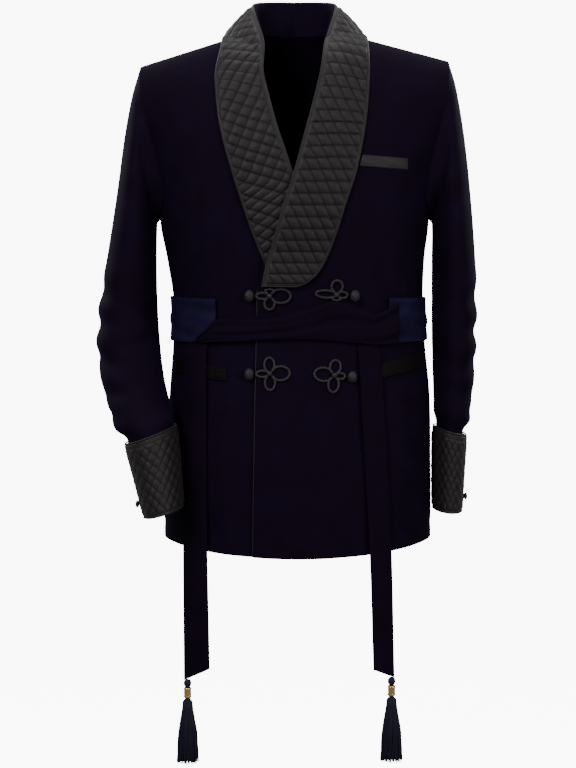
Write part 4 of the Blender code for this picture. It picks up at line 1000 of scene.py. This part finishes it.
def add_collar_stand():
    """The stand inside the collar, from the neck seam up to the roll, round the back of the neck."""
    side = keyed([(*roll, *seam) for roll, _, seam in NECK])(np.linspace(0.35, len(NECK) - 1, 60))
    line = np.concatenate([side, side[-2::-1] * np.array((-1, 1, 1, -1, 1, 1))])
    low, high = line[:, 3:6], line[:, :3] - np.array((0, 0, 0.0012))
    rows = []
    for t in np.linspace(0, 1, 12):
        point = low + (high - low) * t
        inward = unit(np.stack([-point[:, 0], 0.012 - point[:, 1], 0 * point[:, 2]], axis=1))
        rows.append(point + inward * (0.0016 - 0.0008 * math.sin(math.pi * t)))
    outer = np.array(rows)
    inward = unit(np.stack([-outer[..., 0], 0.012 - outer[..., 1], 0 * outer[..., 2]], axis=-1))
    piece = add_wall("cloth_collar_stand", outer, outer + inward * VELVET_WALL, VELVET, ["collar_stand"])


# Pockets, frogs and cords
# inner place, lower inner height, outer place, lower outer height, height of the welt, how far the
# inner end leans out beside the lapel, lift
WELTS = {
    "breast_welt": (0.0960, -0.2020, 0.1690, -0.2065, 0.0170, 0.0042, LAY),
    "hip_welt_left": (0.1275, -0.5190, 0.1950, -0.5060, 0.0230, 0.0, HIP_LAY),
    "hip_welt_right": (-0.1010, -0.5235, -0.1800, -0.5125, 0.0200, 0.0, HIP_LAY),
}
# Frogs: middle, button middle, length and width of the top, far and bottom loops, how high the button lies
FROGS = {
    "upper_right": (
        (-0.0375, -0.3945),
        (-0.0675, -0.3944),
        ((0.0105, 0.0090), (0.0315, 0.0180), (0.0205, 0.0120)),
        0.0015,
    ),
    "upper_left": (
        (0.0620, -0.3925),
        (0.0885, -0.3940),
        ((0.0215, 0.0135), (0.0310, 0.0080), (0.0085, 0.0090)),
        0.0003,
    ),
    "lower_right": (
        (-0.0372, -0.5108),
        (-0.0675, -0.5119),
        ((0.0240, 0.0120), (0.0300, 0.0180), (0.0245, 0.0120)),
        0.0006,
    ),
    "lower_left": (
        (0.0590, -0.5135),
        (0.0850, -0.5162),
        ((0.0230, 0.0130), (0.0300, 0.0170), (0.0250, 0.0125)),
        -0.0002,
    ),
}
BUTTON_LOOP_WIDTH = 0.0060
KNOT_RADII = (0.0076, 0.0067, 0.0090)


def add_welts():
    """Satin welts: folded cloth with a soft upper edge, sewn down along their ends and foot."""
    for name, (near_x, near_z, far_x, far_z, height, lean, lift) in WELTS.items():
        u, v = np.meshgrid(np.linspace(0, 1, 72), np.linspace(0, 1, 26), indexing="ij")
        x = near_x + (far_x - near_x) * u + lean * (1 - u) * v
        z = near_z + (far_z - near_z) * u + height * v
        ends = abs(far_x - near_x) * np.minimum(u, 1 - u)
        edge = np.minimum(np.minimum(ends, height * v), height * (1 - v))
        rise = WELT_WALL - 0.0009 * bell(edge, 0.0009) - 0.0004 * bell(edge - 0.0028, 0.0006)
        rise = rise + 0.0003 * np.sin(9 * u + 4 * v) * np.sin(math.pi * v)
        outer = front_points(x, z, lift + rise, False)
        inner = front_points(x, z, lift - 0.0003, False)
        toward = far_x > near_x
        look = SATIN if name == "breast_welt" else WELT_SATIN
        outer, inner = outer.swapaxes(0, 1), inner.swapaxes(0, 1)
        piece = add_wall("satin_" + name, outer, inner, look, [name], flip=not toward)


def frog_path(middle, button, loops):
    """One cord that makes a top, a far and a bottom loop and a long one to the button."""
    middle, button = np.array(middle), np.array(button)
    to_button = unit(button - middle)
    reach = np.linalg.norm(button - middle) - KNOT_RADII[0] - FROG_CORD - LAY
    base = math.atan2(to_button[1], to_button[0])
    turn = 1 if to_button[0] < 0 else -1
    lobes = [(base, reach, BUTTON_LOOP_WIDTH)]
    for count, (length, width) in enumerate(loops):
        lobes.append((base - turn * math.radians(90 * (count + 1)), length, width))
    path = []
    for heading, length, width in lobes:
        along = np.array((math.cos(heading), math.sin(heading)))
        aside = np.array((-along[1], along[0])) * -turn
        s = ((np.arange(44) + 0.5) / 44)[:, None]
        out = 0.0042 + (length - 0.0042) * (1 - np.cos(2 * math.pi * s)) / 2
        wide = -width / 2 * np.sin(2 * math.pi * s) - 0.0022 * np.cos(math.pi * s)
        path.append(middle + along * out + aside * wide)
    return np.concatenate(path)


def add_frogs():
    for place, (middle, button, loops, lay) in FROGS.items():
        flat = frog_path(middle, button, loops)
        lift = np.full(len(flat), FROG_CORD + LAY)
        path = front_points(flat[:, 0], flat[:, 1], lift, False)
        for _ in range(3):
            path = (np.roll(path, 1, axis=0) + 2 * path + np.roll(path, -1, axis=0)) / 4
        name = "frog_" + place
        add_cord("braided_" + name, path, FROG_CORD, BRAID, True, [name], 3, 0.0062, 0.22, 16)
        sunk = float(lap(np.array(button[0]), np.array(button[1]))) if button[0] < -0.06 else 0.0
        seat = front_points(button[0], button[1], KNOT_RADII[1] + lay - sunk, False)
        add_knot("corded_knot_" + place, seat, KNOT_RADII, ["knot_" + place], 7, 0.11)
        hub = front_points(middle[0], middle[1], 2 * FROG_CORD + LAY, False)
        add_knot("frog_hub_" + place, hub, (0.0042, 0.0026, 0.0042), [], 5, 0.10)


def add_front_cord():
    """The thin cord down the edge of the front that lies on top."""
    z = np.linspace(HEM_FRONT + 0.004, -0.3865, 900)
    x = over_edge(z - BASE) - EDGE_CORD - SEAM
    path = front_points(x, z, np.full(len(z), -EDGE_CORD), False)
    add_cord("twisted_front_cord", path, EDGE_CORD, EDGE_BRAID, False, ["front_cord"], 2, 0.0042, 0.24, 10)


# The sash: place, top edge and bottom edge of the stretch across the front
SASH_FRONT = (
    (-0.1440, -0.4610, -0.4650),
    (-0.1320, -0.4490, -0.4645),
    (-0.1170, -0.4310, -0.4640),
    (-0.1120, -0.4290, -0.4635),
    (-0.0800, -0.4255, -0.4625),
    (-0.0560, -0.4235, -0.4605),
    (-0.0100, -0.4190, -0.4590),
    (0.0250, -0.4110, -0.4590),
    (0.0550, -0.4020, -0.4610),
    (0.0780, -0.4060, -0.4635),
    (0.1000, -0.4160, -0.4660),
    (0.1165, -0.4230, -0.4680),
    (0.1310, -0.4170, -0.4680),
    (0.1440, -0.4090, -0.4670),
    (0.1520, -0.4050, -0.4665),
)
SASH_TOP = -0.399
SASH_BOTTOM = -0.465
SASH_AROUND_ENDS = (0.140, -0.117)
WAIST_MIDDLE, WAIST_HALF = 0.006, 0.1935
SASH_OVER_CORD = 0.0052
# The hanging ends: height, inner place, outer place
RIGHT_TAIL = (
    (-0.434, -0.1300, -0.1630),
    (-0.620, -0.1300, -0.1635),
    (-0.780, -0.1290, -0.1645),
    (-0.958, -0.1260, -0.1640),
)
LEFT_TAIL = (
    (-0.434, 0.0920, 0.1240),
    (-0.620, 0.1020, 0.1350),
    (-0.780, 0.1110, 0.1430),
    (-0.958, 0.1170, 0.1480),
)
TAIL_FREE_FROM = -0.665
TAIL_SLANT = {"left": 0.014, "right": 0.022}


def sash_turn(turn, z, lift):
    """Points round the waist: turn in degrees from the middle of the front towards the wearer's left."""
    turn, z, lift = np.broadcast_arrays(turn, z, lift)
    middle, half, front, back = torso_at(z - BASE)
    g = np.sin(np.radians(turn))
    face = np.where(np.cos(np.radians(turn)) > 0, -1, 1)
    depth = np.where(face < 0, front, back)
    y = face * depth * np.maximum(1 - np.minimum(abs(g), 1) ** SECTION_POWER, 0) ** (1 / SECTION_POWER)
    slope_x = np.sign(g) * abs(g) ** (SECTION_POWER - 1) / half
    slope_y = face * (abs(y) / depth) ** (SECTION_POWER - 1) / depth
    out = unit(np.stack([slope_x, slope_y, np.zeros(g.shape)], axis=-1))
    return np.stack([middle + g * half, y, z], axis=-1) + lift[..., None] * out


def sash_creases(along, across):
    """Long soft folds of the tied sash: along in metres round it, across from 0 at its foot to 1."""
    folds = 0.0010 * np.sin(2 * math.pi * (1.6 * across + 0.55 * np.sin(5.1 * along + 0.7)))
    folds += 0.0006 * np.sin(2 * math.pi * (3.1 * across - 0.8 * np.sin(8.3 * along + 2.1)) + 1.0)
    return folds * ease(across / 0.12) * ease((1 - across) / 0.12)


def add_sash():
    """The sash round the waist, and its stretch across the front over the cords, folded on the slant."""
    start, end = (math.degrees(math.asin((x - WAIST_MIDDLE) / WAIST_HALF)) for x in SASH_AROUND_ENDS)
    turns = np.linspace(start, 360 + end, 300)[None, :]
    across = np.linspace(0, 1, 30)[:, None]
    near_front = ease((abs(turns - 180) - 90) / 35)
    low = 0.0019 + 0.0031 * near_front + 0.0008 * np.sin(np.radians(turns * 9)) ** 2 * (1 - near_front)
    along = np.radians(turns) * 0.17
    crease = sash_creases(along, across) * 0.8
    z = SASH_BOTTOM + (SASH_TOP - SASH_BOTTOM) * across + 0.0012 * np.sin(17 * along) * (across - 0.4)
    roll = 0.0007 * (bell(across, 0.05) + bell(1 - across, 0.05))
    outer = sash_turn(turns, z, low + SASH_WALL + crease - roll)
    inner = sash_turn(turns, z, low + 0.5 * np.minimum(crease, 0) + 0.3 * roll)
    # The part round the sides wears the lit copy of the velvet: painted light
    piece = add_wall("velvet_sash_around", outer, inner, LIT_SASH_VELVET, ["sash_around"], flip=False)

    x = np.linspace(SASH_FRONT[0][0], SASH_FRONT[-1][0], 150)[None, :] + np.zeros((26, 1))
    across = np.linspace(0, 1, 26)[:, None] + np.zeros_like(x)
    top, foot = straight(SASH_FRONT, x, 1), straight(SASH_FRONT, x, 2)
    ends = np.minimum(x - SASH_FRONT[0][0], SASH_FRONT[-1][0] - x)
    lift = SASH_OVER_CORD + 0.0032 * ease((abs(x) - 0.074) / 0.020)
    crease = sash_creases(1.7 * x + 0.4, across) + 0.0007 * bell(across - 0.33, 0.16)
    crease = crease + 0.0010 * bell(x - 0.062 + 0.014 * across, 0.006) * across
    crease = crease - 0.0009 * bell(x - 0.079 + 0.010 * across, 0.005) * across
    roll = 0.0008 * (bell(across, 0.05) + bell(1 - across, 0.05))
    roll = roll + 0.0009 * bell(ends, 0.0022)
    z = foot + (top - foot) * across
    outer = front_points(x, z, lift + SASH_WALL + crease - roll, False)
    inner = front_points(x, z, lift + 0.3 * roll, False)
    piece = add_wall("velvet_sash_front", outer, inner, SASH_VELVET, ["sash_front"], flip=True)


def add_tail(side, table):
    """A hanging end of the sash: narrow, turned in at both edges, cut on the slant at its foot."""
    s = np.linspace(0, 1, 190)[:, None]
    across = np.linspace(0, 1, 22)[None, :]
    z = table[0][0] + (table[-1][0] - table[0][0]) * s
    row = Curve(table)(z[:, 0])
    x = row[:, :1] + (row[:, 1:] - row[:, :1]) * across
    drop = TAIL_SLANT[side] * across * ease((-0.80 - z) / 0.15)
    lift = COLLAR_LAY + 0.0042 * ease((-0.468 - z) / 0.018)
    free = ease((TAIL_FREE_FROM - z) / 0.10)
    start = 0.6 if side == "left" else 2.4
    wave = 0.0016 * np.sin(15 * s + start) * ease((-0.49 - z) / 0.05) * (across - 0.5)
    wave = wave + free * 0.0015 * np.sin(11 * s + 1.2)
    height = z - drop

    def place(out):
        held = front_points(x, np.maximum(height, TAIL_FREE_FROM), out, False)
        full = front_points(x, np.full(x.shape, TAIL_FREE_FROM), out, False)[..., 1]
        depth = np.where(height < TAIL_FREE_FROM, np.minimum(held[..., 1], full), held[..., 1])
        return np.stack([held[..., 0], depth - wave, height], axis=-1)

    edge = np.minimum(across, 1 - across) * 0.033
    foot = np.maximum(-s + 1, 0) * 0.52
    edge = np.minimum(edge, foot + 0.0006)
    soft = -0.0008 * bell(edge, 0.0010) - 0.0005 * bell(edge - 0.0036, 0.0008)
    crown = 0.0007 * np.sin(math.pi * across)
    outer = place(lift + SASH_WALL + soft + crown)
    inner = place(lift + 0 * x - 0.3 * soft)
    name = "tail_" + side
    piece = add_wall("velvet_" + name, outer, inner, SASH_VELVET, [name], flip=False)
    return (outer[-1, -1] + inner[-1, -1]) / 2, (outer[-1, -8] + inner[-1, -8]) / 2


# Tassels: radius and drop of the knot, the neck and the shoulder of the skirt
HEAD_PROFILE = (
    (0.0004, -0.0006),
    (0.0030, 0.0002),
    (0.0050, 0.0020),
    (0.0060, 0.0058),
    (0.0053, 0.0096),
    (0.0040, 0.0120),
    (0.0040, 0.0290),
    (0.0060, 0.0318),
    (0.0070, 0.0370),
    (0.0082, 0.0600),
    (0.0122, 0.1000),
    (0.0142, 0.1225),
    (0.0060, 0.1240),
)
# The strands of the skirt, outer and inner: count, radius at the top and at the foot, turn in strands
SKIRT_STRANDS = ((70, 0.0070, 0.0160, 0.0), (50, 0.0054, 0.0124, 0.5))
SKIRT_TOP = 0.0335
STRAND_RADIUS = 0.00078
STRAND_STEPS = 12
TASSEL_DROP = 0.128
# The ring round the neck: radius and drop
RING_PROFILE = (
    (0.0044, 0.0129),
    (0.0053, 0.0129),
    (0.0059, 0.0136),
    (0.0060, 0.0148),
    (0.0055, 0.0156),
    (0.0057, 0.0168),
    (0.0055, 0.0182),
    (0.0058, 0.0204),
    (0.0055, 0.0226),
    (0.0057, 0.0240),
    (0.0055, 0.0252),
    (0.0060, 0.0262),
    (0.0059, 0.0274),
    (0.0053, 0.0281),
    (0.0044, 0.0281),
)


def lathe_points(profile, sides, top, ridges=0, depth=0.0, twist=0.0):
    angle = 2 * math.pi * np.arange(sides) / sides
    rows = []
    for radius, drop in profile:
        size = radius * (1 - depth + depth * abs(np.sin(ridges / 2 * angle + twist * drop)))
        rows.append(np.stack([size * np.cos(angle), size * np.sin(angle), np.full(sides, -drop)], axis=-1))
    return top + np.array(rows)


def add_tassel(side, corner, beside):
    """A tassel of the sash: a thread-wound head, a brass ring and a skirt of separate strands."""
    top = corner * 0.6 + beside * 0.4 - np.array((0, 0, 0.0011))
    profile = keyed(HEAD_PROFILE)(np.linspace(0, len(HEAD_PROFILE) - 1, 90))
    head = lathe_points(profile, 64, top, 18, 0.09, 60.0)
    faces = [lathe_faces(len(profile), 64, False)]
    points = [head.reshape(-1, 3)]
    start = head.size // 3
    t = np.linspace(0, 1, STRAND_STEPS)
    for count, near, far, shift in SKIRT_STRANDS:
        for k in range(count):
            angle = 2 * math.pi * (k + shift) / count + 0.05 * math.sin(5.3 * k)
            length = TASSEL_DROP - 0.0035 * (0.5 + 0.5 * math.sin(2.4 * k)) - 0.0010 * math.sin(7.7 * k)
            swell = 0.55 * ease(t * 1.6) + 0.45 * t
            radius = near + (far - near) * swell + 0.0006 * np.sin(9 * t + 3.1 * k) * t
            turn = angle + (0.06 * np.sin(6 * t + 1.7 * k)) * t
            drop = SKIRT_TOP + (length - SKIRT_TOP) * t
            path = np.stack([radius * np.cos(turn), radius * np.sin(turn), -drop], axis=-1) + top
            thin = STRAND_RADIUS * (0.75 + 0.25 * ease(t * 4))
            across = np.stack([-np.sin(turn), np.cos(turn), 0 * turn], axis=-1)
            out = np.stack([np.cos(turn), np.sin(turn), 0 * turn], axis=-1)
            corners = [across * math.cos(a) + out * math.sin(a) for a in (0.3, 1.87, 3.44, 5.01)]
            strand = np.stack([path + thin[:, None] * corner for corner in corners], axis=1)
            points.append(strand.reshape(-1, 3))
            faces.append(lathe_faces(STRAND_STEPS, 4, False) + start)
            last = start + 4 * STRAND_STEPS
            faces.append(np.array([[start + k for k in range(4)], [last - 1 - k for k in range(4)]]))
            start = last
    name = "tassel_" + side
    add_piece("thread_" + name, np.concatenate(points), np.concatenate(faces), THREAD, None, [name])
    ring = lathe_points(RING_PROFILE, 48, top)
    add_piece(
        "brass_ring_" + side,
        ring.reshape(-1, 3),
        lathe_faces(len(RING_PROFILE), 48, True),
        GOLD,
        None,
        ["ferrule_" + side],
        sharp=45,
    )


# Stage, light and camera


def add_stage():
    """A plain pale floor that curves up into a pale wall all round. It is seen, and lights nothing."""
    cove = np.linspace(0, math.pi / 2, 12)
    low = [(5.0 + 2 * math.sin(a), 2 * (1 - math.cos(a))) for a in cove[1:]]
    high = [(5.0 + 2 * math.cos(a), 5 + 2 * math.sin(a)) for a in cove[1:]]
    profile = [(0.01, 0.0), (5.0, 0.0), *low, (7.0, 5.0), *high, (0.01, 7.0)]
    sides = 72
    angle = 2 * math.pi * np.arange(sides) / sides
    points = [(r * math.cos(a), r * math.sin(a), z - 1.52) for r, z in profile for a in angle]
    faces = lathe_faces(len(profile), sides, False)
    mesh = bpy.data.meshes.new("studio_shell")
    mesh.from_pydata(points, [], [tuple(int(i) for i in face) for face in faces])
    mesh.shade_smooth()
    shell = bpy.data.objects.new("studio_shell", mesh)
    bpy.context.scene.collection.objects.link(shell)
    made, _, shader = new_material("pale_paper", (0.93, 0.93, 0.93), 0.9)
    shader.inputs["Emission Color"].default_value = (1, 1, 1, 1)
    shader.inputs["Emission Strength"].default_value = 9.0
    mesh.materials.append(made)
    shell.visible_diffuse = shell.visible_glossy = shell.visible_shadow = False


def add_light(name, place, aim, size, power, colour=(1, 1, 1)):
    light = bpy.data.lights.new(name, "AREA")
    light.shape = "DISK"
    light.size = size
    light.energy = power
    light.color = colour
    lamp = bpy.data.objects.new(name, light)
    lamp.location = place
    lamp.rotation_euler = (Vector(aim) - Vector(place)).to_track_quat("-Z", "Y").to_euler()
    lamp.visible_camera = False
    bpy.context.scene.collection.objects.link(lamp)


def add_studio():
    world = bpy.data.worlds.new("studio")
    world.use_nodes = True
    sky = world.node_tree.nodes["Background"]
    sky.inputs["Color"].default_value = (1.0, 1.0, 1.0, 1)
    sky.inputs["Strength"].default_value = 0.30
    bpy.context.scene.world = world
    add_light("key", (-1.5, -2.6, 1.3), (0, 0, -0.45), 1.6, 92)
    add_light("fill", (2.0, -2.2, 0.3), (0, 0, -0.5), 1.6, 50)
    add_light("top", (0.0, 0.2, 2.4), (0, 0, -0.2), 1.8, 55)
    add_light("back_left", (-1.6, 1.3, 0.8), (0, 0, -0.3), 1.0, 34)
    add_light("back_right", (1.6, 1.3, 0.8), (0, 0, -0.3), 1.0, 34)
    camera = bpy.data.cameras.new("camera")
    camera.sensor_fit = "VERTICAL"
    camera.sensor_height = 24.0
    camera.lens = 24.0 * 2064.5 / 768
    camera.clip_end = 60
    view = bpy.data.objects.new("camera", camera)
    view.location = (-0.010, -3.2, -0.30)
    view.rotation_euler = (math.radians(90 - 4.2), 0, 0)
    bpy.context.scene.collection.objects.link(view)
    bpy.context.scene.camera = view


add_studio()
add_stage()
add_body()
add_collar_stand()
add_sleeve("left", LEFT_SLEEVE, LEFT_CUFF, LEFT_ARM_FOLDS, 1)
add_sleeve("right", RIGHT_SLEEVE, RIGHT_CUFF, RIGHT_ARM_FOLDS, -1)
add_cuff("left", LEFT_CUFF, 1)
add_cuff("right", RIGHT_CUFF, -1)
add_shawl("left", LEFT_LAPEL, 1, 0.0)
add_shawl("right", RIGHT_LAPEL, -1, math.radians(-8))
add_welts()
add_frogs()
add_front_cord()
add_sash()
for tail_side, tail_table in (("right", RIGHT_TAIL), ("left", LEFT_TAIL)):
    low_corner, next_point = add_tail(tail_side, tail_table)
    add_tassel(tail_side, low_corner, next_point)
